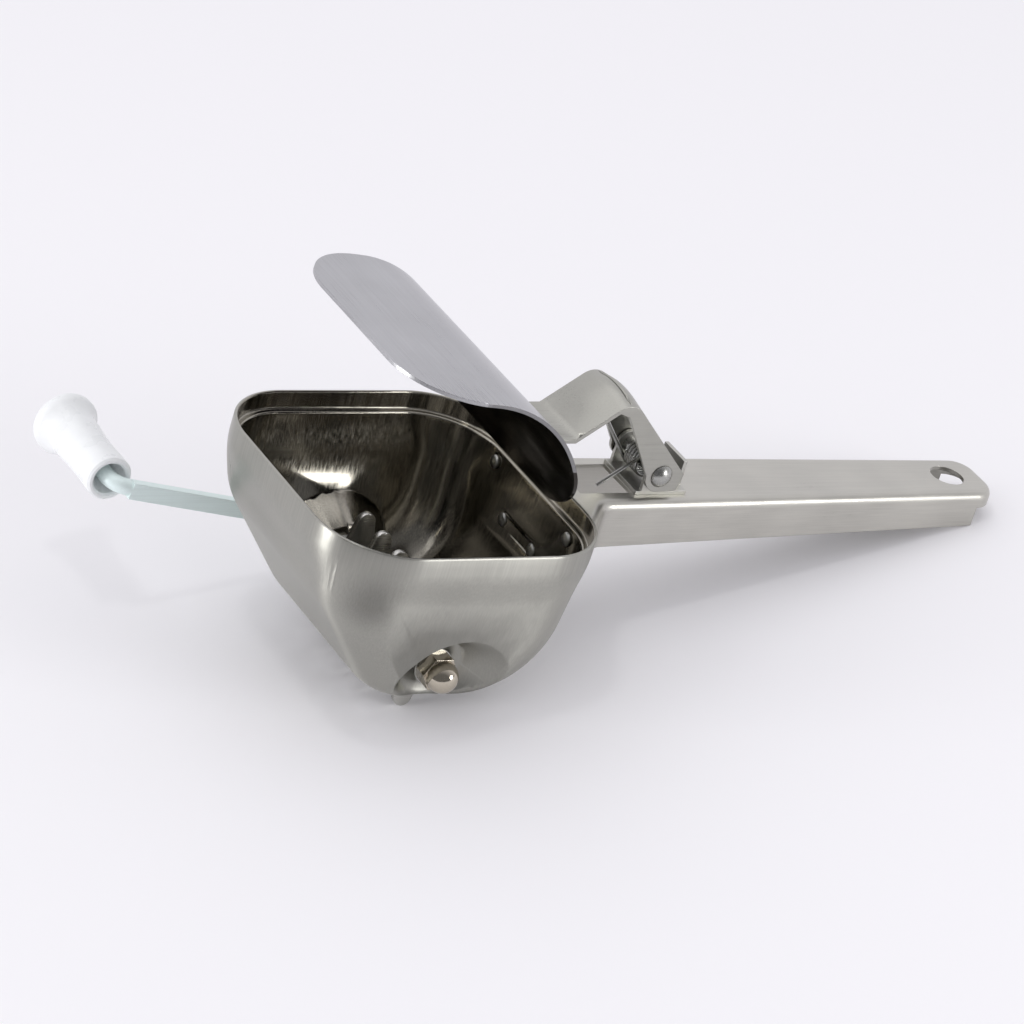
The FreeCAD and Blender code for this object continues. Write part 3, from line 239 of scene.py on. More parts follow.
# corners nearer than this count as one: in a CAD mesh, in a turned mesh and on a cut
WELD = 0.002 * MM
TURNED_WELD = 0.001 * MM
ON_CUT = 0.0001 * MM
# the level part of a wall's normal counts as at least this
FLATTEST = 0.1
# the hopper's wall leaves its cut at no more than this many times its mean slope up to the rim
STEEPEST = 2.5
# half of the band in which a sheet's outer finish turns into its inner one
TURN_BAND = 0.3 * MM
# most of a noise lies in this range
NOISE_RANGE = (0.3, 0.7)
# noise cells per metre: smudges of about 17 mm, clouds of 22 mm and a bloom of 5 mm
SMUDGES = 60.0
CLOUDS = 45.0
BLOOM = 220.0
# one side of a sheet, the middle that its inner side looks toward, and a patch of painted shade
Side = namedtuple("Side", "colour rough")
Middle = namedtuple("Middle", "spot weights")
PaintedShadePatch = namedtuple("PaintedShadePatch", "spot reach level")


def add(tree, kind, inputs=None, **settings):
    """Node of a kind with its settings. An input is a value, or the socket that feeds it."""
    node = tree.nodes.new(kind)
    for name, setting in settings.items():
        setattr(node, name, setting)
    for socket, source in (inputs or {}).items():
        if isinstance(source, bpy.types.NodeSocket):
            tree.links.new(source, node.inputs[socket])
        else:
            node.inputs[socket].default_value = source
    return node


def new_material(name, **shader_inputs):
    """Material with a Principled BSDF; shader_inputs are named with spaces as underscores."""
    material = bpy.data.materials.new(name)
    material.use_nodes = True
    tree = material.node_tree
    tree.nodes.clear()
    shader = add(tree, "ShaderNodeBsdfPrincipled",
                 {socket.replace("_", " "): source for socket, source in shader_inputs.items()})
    add(tree, "ShaderNodeOutputMaterial", {"Surface": shader.outputs["BSDF"]})
    return material, tree, shader


def hopper_axes(tree):
    """Object coordinates turned to the hopper's axes, with their origin on the shaft."""
    place = add(tree, "ShaderNodeTexCoord").outputs["Object"]
    moved = vector_math(tree, "SUBTRACT", place, SHAFT)
    return add(tree, "ShaderNodeMapping", {"Vector": moved, "Rotation": (0, -LEAN, 0)},
               vector_type="POINT").outputs[0]


def brushed(tree, place, grain, finishes, stretch=1.0):
    """Value from 0 to 1 that varies in fine lines along the grain, a letter of X, Y or Z."""
    fine = 1 / finishes.brush_width
    coarse = 1 / (finishes.brush_length * stretch)
    scale = [coarse if axis == grain else fine for axis in "XYZ"]
    return noise(tree, vector_math(tree, "MULTIPLY", place, scale), per_metre=1.0, detail=3.0, rough=0.6)


def vector_math(tree, operation, first, second=None):
    inputs = {0: first} if second is None else {0: first, 1: second}
    outputs = add(tree, "ShaderNodeVectorMath", inputs, operation=operation).outputs
    return outputs["Value" if operation in ("DOT_PRODUCT", "LENGTH") else "Vector"]


def noise(tree, place, per_metre, detail, rough=0.5):
    inputs = {"Vector": place, "Scale": per_metre, "Detail": detail, "Roughness": rough}
    return add(tree, "ShaderNodeTexNoise", inputs).outputs["Fac"]


def mean(tree, first, second):
    total = add(tree, "ShaderNodeMath", {0: first, 1: second}, operation="ADD").outputs[0]
    return add(tree, "ShaderNodeMath", {0: total, 1: 0.5}, operation="MULTIPLY").outputs[0]


def remap(tree, source, low, high, start=0.0, end=1.0, curve="LINEAR"):
    inputs = {"Value": source, "From Min": start, "From Max": end, "To Min": low, "To Max": high}
    return add(tree, "ShaderNodeMapRange", inputs, interpolation_type=curve).outputs[0]


def spread(tree, source, middle, reach):
    """Value that a noise moves round a middle, over the noise's usual range."""
    return remap(tree, source, middle - reach, middle + reach, *NOISE_RANGE)


def shaded(tree, base, factor, dark, light, start=NOISE_RANGE[0], end=NOISE_RANGE[1]):
    """The base colour, a value or a socket, made darker or lighter by a factor from start to end."""
    level = remap(tree, factor, dark, light, start, end)
    grey = add(tree, "ShaderNodeCombineColor", {"Red": level, "Green": level, "Blue": level}).outputs[0]
    return add(tree, "ShaderNodeMix", {0: 1.0, 6: base, 7: grey}, data_type="RGBA",
               blend_type="MULTIPLY").outputs[2]


def relief(tree, shader, height, strength, edge):
    """Bump from a height, on edges that are rounded enough to catch the light."""
    rounded = add(tree, "ShaderNodeBevel", {"Radius": edge * MM}, samples=6).outputs[0]
    bump = add(tree, "ShaderNodeBump", {"Height": height, "Strength": strength, "Distance": 0.05 * MM,
                                        "Normal": rounded})
    tree.links.new(bump.outputs[0], shader.inputs["Normal"])


def metal(name, base, finishes, grain="X", rough=0.34, rough_reach=0.1, contrast=0.12, metallic=1.0):
    """Brushed or rolled metal, with fine lines along its grain and edges that catch the light."""
    material, tree, shader = new_material(name, Metallic=metallic)
    place = hopper_axes(tree)
    lines = brushed(tree, place, grain, finishes)
    marks = mean(tree, lines, noise(tree, place, SMUDGES, 4.0))
    tree.links.new(shaded(tree, base, marks, 1 - contrast, 1 + contrast), shader.inputs["Base Color"])
    tree.links.new(spread(tree, marks, rough, rough_reach), shader.inputs["Roughness"])
    relief(tree, shader, lines, strength=0.12, edge=0.25)
    return material


def facing(tree, place, centre, weights):
    """Value of 1 where a face looks toward a centre in the hopper's axes, and 0 where it looks away.

    The weights say how much each axis counts.
    """
    normal = add(tree, "ShaderNodeNewGeometry").outputs["True Normal"]
    turned = add(tree, "ShaderNodeMapping", {"Vector": normal, "Rotation": (0, -LEAN, 0)},
                 vector_type="NORMAL").outputs[0]
    way = vector_math(tree, "MULTIPLY", vector_math(tree, "SUBTRACT", place, centre), weights)
    return remap(tree, vector_math(tree, "DOT_PRODUCT", way, turned), 1.0, 0.0, -TURN_BAND, TURN_BAND)


def with_painted_shade(tree, place, base, painted_shade):
    """The base colour with a soft dark patch of painted shade."""
    away = vector_math(tree, "SUBTRACT", place, painted_shade.spot)
    ring = vector_math(tree, "LENGTH", vector_math(tree, "DIVIDE", away, painted_shade.reach))
    clear = remap(tree, ring, 0.0, 1.0, 0.1, 1.0, "SMOOTHSTEP")
    return shaded(tree, base, clear, painted_shade.level, 1.0, 0.0, 1.0)


def two_sided(name, finishes, outer, inner, middle, grain, edge=0.35, smear=0.0, painted_shade=None):
    """Sheet with a satin outer side and a smooth inner side, the one that looks toward its middle. The inner side
    takes the darker colour it is given, which is painted shade.

    The smear draws reflections out along the upright, as fine brushing does.
    """
    material, tree, shader = new_material(name, Metallic=1.0, Anisotropic=smear)
    upright = add(tree, "ShaderNodeCombineXYZ", {"X": math.sin(LEAN), "Z": math.cos(LEAN)})
    tree.links.new(upright.outputs[0], shader.inputs["Tangent"])
    place = hopper_axes(tree)
    inside = facing(tree, place, middle.spot, middle.weights)
    satin = mean(tree, brushed(tree, place, grain, finishes), noise(tree, place, CLOUDS, 3.0))
    streaks = brushed(tree, place, grain, finishes, 0.35)
    outer_colour = shaded(tree, outer.colour, satin, dark=0.84, light=1.16)
    # a patch of painted shade darkens part of the outer side
    if painted_shade:
        outer_colour = with_painted_shade(tree, place, outer_colour, painted_shade)
    # the inner side's darker colour is painted shade on the same sheet
    inner_colour_painted_shade = shaded(tree, inner.colour, streaks, dark=0.75, light=1.25)
    mixed = add(tree, "ShaderNodeMix", {0: inside, 6: outer_colour, 7: inner_colour_painted_shade},
                data_type="RGBA").outputs[2]
    tree.links.new(mixed, shader.inputs["Base Color"])
    outer_rough = spread(tree, satin, outer.rough, reach=0.07)
    inner_rough = spread(tree, streaks, inner.rough, reach=0.06)
    rough = add(tree, "ShaderNodeMix", {0: inside, 2: outer_rough, 3: inner_rough},
                data_type="FLOAT").outputs[0]
    tree.links.new(rough, shader.inputs["Roughness"])
    relief(tree, shader, streaks, strength=0.07, edge=edge)
    return material


def moulded(name, base, rough):
    """Moulded plastic: even colour, a fine bloom in the gloss and a faint ripple from the mould."""
    material, tree, shader = new_material(name, IOR=1.5)
    bloom = noise(tree, hopper_axes(tree), BLOOM, 3.0)
    tree.links.new(shaded(tree, base, bloom, dark=0.97, light=1.02), shader.inputs["Base Color"])
    tree.links.new(remap(tree, bloom, rough - 0.06, rough + 0.08, *NOISE_RANGE), shader.inputs["Roughness"])
    bump = add(tree, "ShaderNodeBump", {"Height": bloom, "Strength": 0.08, "Distance": 0.1 * MM})
    tree.links.new(bump.outputs[0], shader.inputs["Normal"])
    return material


def drawn_shell(finishes):
    """Hopper: satin outside with a streak at its corner, smooth inside, where a darker colour is painted shade."""
    # painted shade: a darker patch beside the front corner, which sets off the streak
    painted_shade = PaintedShadePatch(spot=(-28 * MM, -34.5 * MM, 23 * MM), reach=(10 * MM, 12 * MM, 13 * MM), level=0.62)
    return two_sided("drawn stainless shell", finishes, Side(finishes.outside, rough=0.36),
                     Side(finishes.inside, rough=0.15),
                     Middle(spot=(-2.6 * MM, 0, 36.1 * MM), weights=(1, 3, 1)), "Z",
                     smear=0.85, painted_shade=painted_shade)


def presser_sheet(finishes):
    """Presser plate: satin above, smooth beneath, where it looks to the middle of its curl, and dark there by
    painted shade.
    """
    return two_sided("satin stainless presser", finishes, Side(finishes.presser, rough=0.3),
                     Side(finishes.presser_underside_painted_shade, rough=0.16),
                     Middle(spot=(-14.25 * MM, 0, 41.6 * MM), weights=(1, 0, 1)), "Y", edge=0.2)


def channel_steel(finishes):
    """Handle: lines along its length and a soft sheen."""
    return metal("brushed stainless channel", finishes.handle, finishes, "X", rough=0.36)


def fittings_steel(finishes):
    """Bracket and saddle: even satin sheet, brushed across."""
    return metal("satin stainless fittings", finishes.fittings, finishes, "Y", rough=0.42)


def strap_steel(finishes):
    """Presser's strap: a duller sheet than the plate, with lines along it."""
    return metal("rolled stainless strap", finishes.strap, finishes, "X", rough=0.33)


def rivet_steel(finishes):
    """Rivet heads: small bright spots in the dark wall."""
    return metal("headed rivet steel", finishes.turned, finishes, "X", rough=0.3)


def turned_steel(finishes):
    """Shaft, pin, spacers and washers: fine turning lines with a clear shine."""
    return metal("turned stainless", finishes.turned, finishes, "Y", rough=0.26)


def nickel_plate(finishes):
    """Acorn nut: warm and nearly a mirror."""
    return metal("nickel plated nut", finishes.nickel, finishes, "Y", rough=0.11,
                 rough_reach=0.04, contrast=0.1)


def zinc_plate(finishes):
    """Crank bar: pale and matt, since the plating's film scatters more than it mirrors."""
    return metal("zinc plated bar", finishes.zinc, finishes, "X", rough=0.45, rough_reach=0.08,
                 contrast=0.08, metallic=0.2)


def blade_steel(finishes):
    """Blades: stamped sheet, brighter than the hopper's inside behind them."""
    return metal("stamped blade steel", finishes.blades, finishes, "X", rough=0.28)


def spring_steel(finishes):
    """Spring: drawn wire with a sharp highlight along it."""
    return metal("drawn spring wire", finishes.turned, finishes, "Y", rough=0.2)


def turned_acetal(finishes):
    """Bushes: off-white and dull."""
    return moulded("turned acetal", finishes.acetal, 0.42)


def grip_plastic(finishes):
    """Grip: white with a mild gloss."""
    return moulded("moulded white plastic", finishes.grip, 0.3)


def give(material, *nodes):
    """Finish of CAD nodes: the material goes into their objects' slots."""
    for name in nodes:
        piece = frame["nodes"][name]
        if not piece.material_slots:
            piece.data.materials.append(None)
        for slot in piece.material_slots:
            slot.link = "OBJECT"
            slot.material = material


def new_piece(name, mesh):
    piece = bpy.data.objects.new(name, mesh)
    bpy.context.scene.collection.objects.link(piece)
    return piece


def node_tree(name, sizes):
    """Geometry node tree with named inputs after its geometry, and the outputs of its input node."""
    tree = bpy.data.node_groups.new(name, "GeometryNodeTree")
    tree.interface.new_socket("Geometry", in_out="INPUT", socket_type="NodeSocketGeometry")
    for label, default in sizes.items():
        kind = "NodeSocketInt" if isinstance(default, int) else "NodeSocketFloat"
        socket = tree.interface.new_socket(label, in_out="INPUT", socket_type=kind)
        socket.default_value = default
    tree.interface.new_socket("Geometry", in_out="OUTPUT", socket_type="NodeSocketGeometry")
    return tree, add(tree, "NodeGroupInput").outputs


def finish_tree(tree, geometry, material):
    real = add(tree, "GeometryNodeRealizeInstances", {0: geometry})
    dressed = add(tree, "GeometryNodeSetMaterial", {"Geometry": real.outputs[0], "Material": material})
    add(tree, "NodeGroupOutput", {0: dressed.outputs[0]})


def grown(name, seed, tree, values):
    """Plain mesh that a tree makes from the seed object, with its inputs set by identifier."""
    modifier = seed.modifiers.new(name, "NODES")
    modifier.node_group = tree
    for item in tree.interface.items_tree:
        if item.in_out == "INPUT" and item.name in values:
            modifier[item.identifier] = values[item.name]
    seed.update_tag()
    evaluated = seed.evaluated_get(bpy.context.evaluated_depsgraph_get())
    mesh = bpy.data.meshes.new_from_object(evaluated)
    bpy.data.objects.remove(seed)
    mesh.name = name
    return new_piece(name, mesh)


def rim_point(way, half_x, half_y, corner):
    """Where a level ray from the middle of the mouth meets a rectangle with round corners."""
    reach = min(half_x / max(abs(way.x), TINY), half_y / max(abs(way.y), TINY))
    point = way * reach
    middle = Vector((half_x - corner, half_y - corner))
    if abs(point.x) > middle.x and abs(point.y) > middle.y:
        # distance along the ray to the far side of the corner's circle
        centre = Vector((math.copysign(middle.x, way.x), math.copysign(middle.y, way.y)))
        ahead = way.dot(centre)
        point = way * (ahead + math.sqrt(max(ahead ** 2 - centre.length_squared + corner ** 2, 0)))
    return point


def boundary_loops(shape):
    """Loops of open edges, each a list of vertices in order, the longest way round first."""
    left = {edge for edge in shape.edges if edge.is_boundary}
    loops = []
    while left:
        edge = min(left, key=lambda e: e.index)
        left.discard(edge)
        loop = [edge.verts[0], edge.verts[1]]
        while loop[-1] is not loop[0]:
            onward = next(e for e in loop[-1].link_edges if e in left)
            left.discard(onward)
            loop.append(onward.other_vert(loop[-1]))
        loops.append(loop[:-1])
    return sorted(loops, key=lambda ring: -sum((a.co - b.co).length for a, b in zip(ring, ring[1:])))


def eased(share):
    """Smooth step from 0 to 1."""
    return share ** 2 * (3 - 2 * share)


def in_radians(*degrees):
    return [math.radians(step) for step in degrees]


def drawn_rings(sizes, inside):
    """Rings from the cut up to the top of the rim's bead.

    Each is (share, inset, height): how much of the way out from the cut to the rim is done, how far in
    from the rim's outside the ring ends, and its height above the foot of the rim.
    """
    bead = sizes.sheet / 2
    top = sizes.height
    face = sizes.sheet if inside else 0.0
    sign = -1 if inside else 1
    edge = [(1, bead - sign * bead * math.cos(a), top - bead + bead * math.sin(a))
            for a in in_radians(0, 25, 50, 72)]
    steps = sizes.inner_rings if inside else sizes.outer_rings
    climb = [k / steps for k in range(1, steps + 1)]
    if not inside:
        wall = [(share, face, -sizes.blend * (1 - share)) for share in climb]
        return wall + [(1, face, sizes.brow * top)] + edge
    foot = face + sizes.step - sizes.ledge * sizes.sheet
    fillet = sizes.fillet
    wall = [(share, foot, -sizes.blend + (sizes.blend - sizes.sheet) * share) for share in climb]
    crest = [(1, foot - fillet * (1 - math.cos(a)), -sizes.sheet + fillet * math.sin(a))
             for a in in_radians(22, 45, 68, 90)]
    hollow = [(1, face + fillet * (1 - math.sin(a)), -sizes.sheet + 2 * fillet - fillet * math.cos(a))
              for a in in_radians(0, 22, 45, 68, 90)]
    return wall + crest + hollow + edge


def wall_slope(vert):
    """How far the wall at a vertex runs outward for its rise, from the mean normal of its faces."""
    normal = Vector()
    for face in vert.link_faces:
        normal += face.normal * face.calc_area()
    normal.normalize()
    return abs(normal.z) / max(normal.xy.length, FLATTEST)


def draw_up(shape, loop, sizes, inside):
    """Carry one loop of the cut wall up to the rim."""
    middle = Vector(sizes.mouth)
    slopes = [wall_slope(vert) for vert in loop]
    outs = [vert.co.xy - middle.xy for vert in loop]
    below = loop
    for share, inset, height in drawn_rings(sizes, inside):
        ring = []
        for out, slope in zip(outs, slopes):
            rim = rim_point(out.normalized(), sizes.along + sizes.step - inset,
                            sizes.across + sizes.step - inset, sizes.corner - inset)
            # the wall leaves the cut at its own slope and comes upright at the rim
            start = min(slope * sizes.blend / max((rim - out).length, MM), STEEPEST)
            flat = out + (rim - out) * (eased(share) + start * share * (1 - share) ** 2)
            ring.append(shape.verts.new((middle.x + flat.x, middle.y + flat.y, middle.z + height)))
        for i in range(len(ring)):
            j = (i + 1) % len(ring)
            shape.faces.new((below[i], below[j], ring[j], ring[i]))
        below = ring


def hopper_mesh(sizes):
    """The CAD hopper with its upper wall drawn out to the rim in one soft curve.

    The wall is cut below the rim. Outside it then swells to the rim without an edge, and inside it
    keeps a ledge with small rounds. The top edge of the sheet is a bead.
    """
    shape = cad_shape("hopper")
    split(shape, Vector(sizes.mouth) - Vector((0, 0, sizes.blend)), (0, 0, 1), clear_outer=True)
    for edge in [edge for edge in shape.edges if edge.is_boundary]:
        pieces = int(edge.calc_length() / sizes.grid)
        if pieces:
            bmesh.ops.subdivide_edges(shape, edges=[edge], cuts=pieces)
    shape.edges.index_update()
    shape.normal_update()
    for loop, inside in zip(boundary_loops(shape), (False, True)):
        draw_up(shape, loop, sizes, inside)
    rims = [edge for edge in shape.edges if edge.is_boundary]
    bmesh.ops.bridge_loops(shape, edges=rims)
    bmesh.ops.triangulate(shape, faces=[face for face in shape.faces if len(face.verts) > 4])
    return finished_mesh("drawn hopper", shape)


def cad_shape(node):
    """Editable copy of a CAD node in the hopper's axes."""
    source = frame["nodes"][node]
    shape = bmesh.new()
    shape.from_mesh(source.data)
    shape.transform(TO_HOPPER @ source.matrix_world)
    bmesh.ops.remove_doubles(shape, verts=shape.verts, dist=WELD)
    return shape


def finished_mesh(name, shape):
    """Mesh in the frame from a shape in the hopper's axes."""
    bmesh.ops.recalc_face_normals(shape, faces=shape.faces)
    shape.transform(FROM_HOPPER)
    mesh = bpy.data.meshes.new(name)
    shape.to_mesh(mesh)
    shape.free()
    return mesh


def split(shape, place, normal, **sides):
    """Cut the shape's faces along a plane. It keeps both sides, unless one is cleared."""
    bmesh.ops.bisect_plane(shape, geom=shape.verts[:] + shape.edges[:] + shape.faces[:], dist=ON_CUT,
                           plane_co=place, plane_no=normal, **sides)


def arm_mesh(sizes):
    """The CAD arm with a low crown rolled along the middle of its strap."""
    shape = cad_shape("presser_arm")
    for step in range(1 - sizes.across_cuts, sizes.across_cuts):
        split(shape, (0, step * sizes.half_width / sizes.across_cuts, 0), (0, 1, 0))
    for step in range(1, sizes.ramp_cuts + 1):
        split(shape, (sizes.knee + sizes.ramp * step / sizes.ramp_cuts, 0, 0), (1, 0, 0))
    for vert in shape.verts:
        across = vert.co.y / sizes.half_width
        climb = min(max((vert.co.x - sizes.knee) / sizes.ramp, 0), 1)
        if abs(across) < 1:
            vert.co.z += sizes.crown * (1 - across ** 2) * eased(climb)
    return finished_mesh("crowned strap", shape)


def rivets_mesh(sizes):
    """The CAD rivets with smaller heads."""
    shape = cad_shape("saddle_rivets")
    pairs = ((sizes.high_side, sizes.rivet_high), (sizes.low_side, sizes.rivet_low))
    middles = [Vector((side * across, height)) for side in (-1, 1) for across, height in pairs]
    # a corner further out than the shank belongs to a head
    shank = 1.02 * sizes.rivet
    for vert in shape.verts:
        middle = min(middles, key=lambda m: (vert.co.yz - m).length)
        out = vert.co.yz - middle
        if out.length > shank:
            kept = sizes.rivet + (out.length - sizes.rivet) * sizes.head_share
            vert.co.yz = middle + out * (kept / out.length)
    return finished_mesh("low rivets", shape)


def star_outline(sizes):
    """Corners of one blade round the shaft, in the plane of X and Z."""
    half, round_end = sizes.base / 2, sizes.end / 2
    reach = sizes.tip - round_end
    foot = math.sqrt(sizes.root ** 2 - half ** 2)
    left = [Vector((-half, 0, foot)), Vector((-round_end, 0, reach))]
    arc = [Vector((-round_end * math.cos(a), 0, reach + round_end * math.sin(a)))
           for a in (math.pi * step / sizes.end_steps for step in range(1, sizes.end_steps))]
    right = [Vector((round_end, 0, reach)), Vector((half, 0, foot))]
    start = math.asin(half / sizes.root)
    gap = 2 * math.pi / sizes.teeth - 2 * start
    root = [Vector((sizes.root * math.sin(a), 0, sizes.root * math.cos(a)))
            for a in (start + gap * k / sizes.root_steps for k in range(1, sizes.root_steps))]
    corners = []
    for tooth in range(sizes.teeth):
        turn = Matrix.Rotation(tooth * 2 * math.pi / sizes.teeth, 3, "Y")
        corners += [turn @ corner for corner in left + arc + right + root]
    return corners


def star_mesh(sizes):
    """One stamped blade with a bore, its sheared edges slightly rounded."""
    outer = star_outline(sizes)
    inner = [corner.normalized() * sizes.bore for corner in outer]
    shape = bmesh.new()
    rings = [[shape.verts.new(corner + Vector((0, side * sizes.thickness / 2, 0))) for corner in ring]
             for side in (-1, 1) for ring in (outer, inner)]
    front_out, front_in, back_out, back_in = rings
    for a, b in ((front_out, front_in), (back_in, back_out), (back_out, front_out), (front_in, back_in)):
        for i in range(len(outer)):
            j = (i + 1) % len(outer)
            shape.faces.new((a[i], a[j], b[j], b[i]))
    bmesh.ops.recalc_face_normals(shape, faces=shape.faces)
    # the edges between a flat side and the outline or the bore, where the faces turn sharply
    rim = [edge for edge in shape.edges
           if abs(edge.verts[0].co.y - edge.verts[1].co.y) < TINY
           and abs(edge.link_faces[0].normal.dot(edge.link_faces[1].normal)) < 0.5]
    bmesh.ops.bevel(shape, geom=rim, offset=sizes.edge, segments=2, profile=0.6, affect="EDGES")
    mesh = bpy.data.meshes.new("star blade")
    shape.to_mesh(mesh)
    shape.free()
    return mesh


def blade_row(material):
    """Tree that sets blades in a row along the shaft at an even pitch."""
    tree, given = node_tree("blade row", {"Count": 1, "Pitch": 0.0, "Lean": 0.0})
    gaps = add(tree, "ShaderNodeMath", {0: given["Count"], 1: 1.0}, operation="SUBTRACT")
    start = add(tree, "ShaderNodeMath", {0: gaps.outputs[0], 1: given["Pitch"]}, operation="MULTIPLY")
    start = add(tree, "ShaderNodeMath", {0: start.outputs[0], 1: -0.5}, operation="MULTIPLY")
    first = add(tree, "ShaderNodeCombineXYZ", {"Y": start.outputs[0]})
    step = add(tree, "ShaderNodeCombineXYZ", {"Y": given["Pitch"]})
    row = add(tree, "GeometryNodeMeshLine", {"Count": given["Count"], "Start Location": first.outputs[0],
                                             "Offset": step.outputs[0]})
    turn = add(tree, "ShaderNodeCombineXYZ", {"Y": given["Lean"]})
    blades = add(tree, "GeometryNodeInstanceOnPoints",
                 {"Points": row.outputs[0], "Instance": given["Geometry"], "Rotation": turn.outputs[0]})
    placed = add(tree, "GeometryNodeTransform", {"Geometry": blades.outputs[0], "Translation": SHAFT})
    finish_tree(tree, placed.outputs[0], material)
    return tree


def swept(tree, path, section, material, caps=False):
    """Last steps of a tree: the section carried along the path, smooth and in its material."""
    surface = add(tree, "GeometryNodeCurveToMesh",
                  {"Curve": path, "Profile Curve": section, "Fill Caps": caps})
    smooth = add(tree, "GeometryNodeSetShadeSmooth", {"Geometry": surface.outputs[0]})
    finish_tree(tree, smooth.outputs[0], material)


def wire_tree(material):
    """Tree that gives a path a round wire."""
    tree, given = node_tree("wire on a path", {"Radius": 0.0, "Sides": 3})
    section = add(tree, "GeometryNodeCurvePrimitiveCircle",
                  {"Resolution": given["Sides"], "Radius": given["Radius"]})
    swept(tree, given["Geometry"], section.outputs[0], material, caps=True)
    return tree


def turning_tree(material):
    """Tree that turns a half section round the Z axis."""
    tree, given = node_tree("turned round", {"Segments": 3})
    circle = add(tree, "GeometryNodeCurvePrimitiveCircle", {"Resolution": given["Segments"], "Radius": 1.0})
    # the section's X is its radius less the circle's, so it turns at its own radius
    swept(tree, circle.outputs[0], given["Geometry"], material)
    return tree


def path_object(name, points, cyclic=False):
    """Curve of straight runs through points, for a tree to use."""
    curve = bpy.data.curves.new(name, "CURVE")
    curve.dimensions = "3D"
    spline = curve.splines.new("POLY")
    spline.points.add(len(points) - 1)
    for corner, point in zip(spline.points, points):
        corner.co = (*point, 1)
    spline.use_cyclic_u = cyclic
    return new_piece(name, curve)


def spring_path(sizes):
    """Foot, coil and leg of the spring, in the frame, round the hinge axis."""
    width = sizes.pitch * sizes.turns
    steps = int(sizes.turns * sizes.turn_steps)
    end = 2 * math.pi * sizes.turns
    coil = [Vector((sizes.coil * math.cos(end * i / steps), sizes.coil * math.sin(end * i / steps),
                    width * i / steps)) for i in range(steps + 1)]
    foot = coil[0] - Vector((0, sizes.foot, 0))
    reach = coil[-1] + Vector((-math.sin(end), math.cos(end), 0)) * sizes.reach
    # the coil's own Z lies along the hinge, and its turn is measured in the hopper's axes
    turn = (Matrix.Rotation(LEAN, 3, "Y") @ Matrix.Rotation(math.radians(-90), 3, "X")
            @ Matrix.Rotation(sizes.spin, 3, "Z"))
    shift = Vector((0, 0, -width / 2))
    return [PIVOT + turn @ (point + shift) for point in [foot] + coil + [reach]]


def arc_between(start, end, hollow, steps=8):
    """Points from start to end, hollowed from a straight line by a distance at the middle."""
    chord = end - start
    side = Vector((-chord.y, chord.x)).normalized() * hollow
    return [start + chord * t + side * 4 * t * (1 - t) for t in (i / steps for i in range(steps + 1))]


def grip_section(sizes, foot, far):
    """Half section of the grip as (radius, place along it), from its foot at the bar to its far end."""
    edge = sizes.edge
    neck = foot + (far - foot) * sizes.neck
    neck_radius = sizes.waist + sizes.neck_gain
    flare = far - sizes.lip_width - sizes.lip_slope
    # the bead's rise at the neck, the bevel before the lip's rim and the round behind it
    rise = 0.1 * MM
    bevel, bevel_length = 0.4 * MM, 0.6 * MM
    corner = 0.35 * MM
    mouth_and_ring = [(sizes.mouth + edge, foot), (sizes.ring - edge, foot), (sizes.ring, foot + edge)]
    waist = arc_between(Vector((sizes.ring, foot + sizes.ring_length)), Vector((neck_radius, neck)),
                        sizes.waist_hollow)
    cone = arc_between(Vector((neck_radius + rise, neck + sizes.neck_bead)),
                       Vector((sizes.lip - bevel, flare)), sizes.lip_hollow)
    lip = [(sizes.lip, flare + bevel_length), (sizes.lip, far - sizes.lip_edge),
           (sizes.lip - corner, far - corner), (sizes.lip - sizes.lip_edge, far)]
    dish = [(sizes.dish + edge, far), (sizes.dish, far - edge), (sizes.dish, far - sizes.dish_depth)]
    bore = [(sizes.bore, far - sizes.dish_depth), (sizes.bore, foot + sizes.mouth_end),
            (sizes.mouth, foot + sizes.mouth_depth), (sizes.mouth, foot + edge)]
    return mouth_and_ring + waist + cone + lip + dish + bore


def turn_on(piece, place):
    """Put a turned piece where it belongs, with its place in its mesh."""
    piece.data.transform(place)
    shape = bmesh.new()
    shape.from_mesh(piece.data)
    bmesh.ops.remove_doubles(shape, verts=shape.verts, dist=TURNED_WELD)
    bmesh.ops.recalc_face_normals(shape, faces=shape.faces)
    shape.to_mesh(piece.data)
    shape.free()


def shade_by_angle(piece, degrees):
    """Smooth shading, but sharp at edges that turn by more than the angle."""
    piece.data.shade_smooth()
    piece.data.set_sharp_from_angle(angle=math.radians(degrees))


class MILL_OT_sheet_metal(bpy.types.Operator):
    """Give the drawn, folded and stamped sheet parts their finishes"""

    bl_idname = "mill.sheet_metal"
    bl_label = "Sheet metal"

    def execute(self, context):
        finishes = context.scene.mill_finishes
        give(channel_steel(finishes), "handle")
        give(presser_sheet(finishes), "presser_plate")
        give(fittings_steel(finishes), "hinge_bracket", "handle_saddle")
        return {"FINISHED"}


class MILL_OT_hopper(bpy.types.Operator):
    """Draw the hopper's wall up to its rim in a soft curve"""

    bl_idname = "mill.hopper"
    bl_label = "Hopper"

    def execute(self, context):
        scene = context.scene
        hopper = new_piece("drawn_hopper", hopper_mesh(scene.mill_hopper))
        hopper.data.materials.append(drawn_shell(scene.mill_finishes))
        shade_by_angle(hopper, 35)
        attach(hopper, "body")
        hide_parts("hopper")
        return {"FINISHED"}


class MILL_OT_arm(bpy.types.Operator):
    """Roll a crown into the presser's strap and set the saddle rivets' heads"""

    bl_idname = "mill.arm"
    bl_label = "Strap and rivets"

    def execute(self, context):
        finishes = context.scene.mill_finishes
        sizes = context.scene.mill_arm
        strap = new_piece("crowned_strap", arm_mesh(sizes))
        strap.data.materials.append(strap_steel(finishes))
        rivets = new_piece("low_rivets", rivets_mesh(sizes))
        rivets.data.materials.append(rivet_steel(finishes))
        for piece, body, node, slot in ((strap, "presser", "presser_arm", "presser"),
                                        (rivets, "body", "saddle_rivets", "turned")):
            shade_by_angle(piece, 35)
            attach(piece, body)
            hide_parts(node)
        return {"FINISHED"}


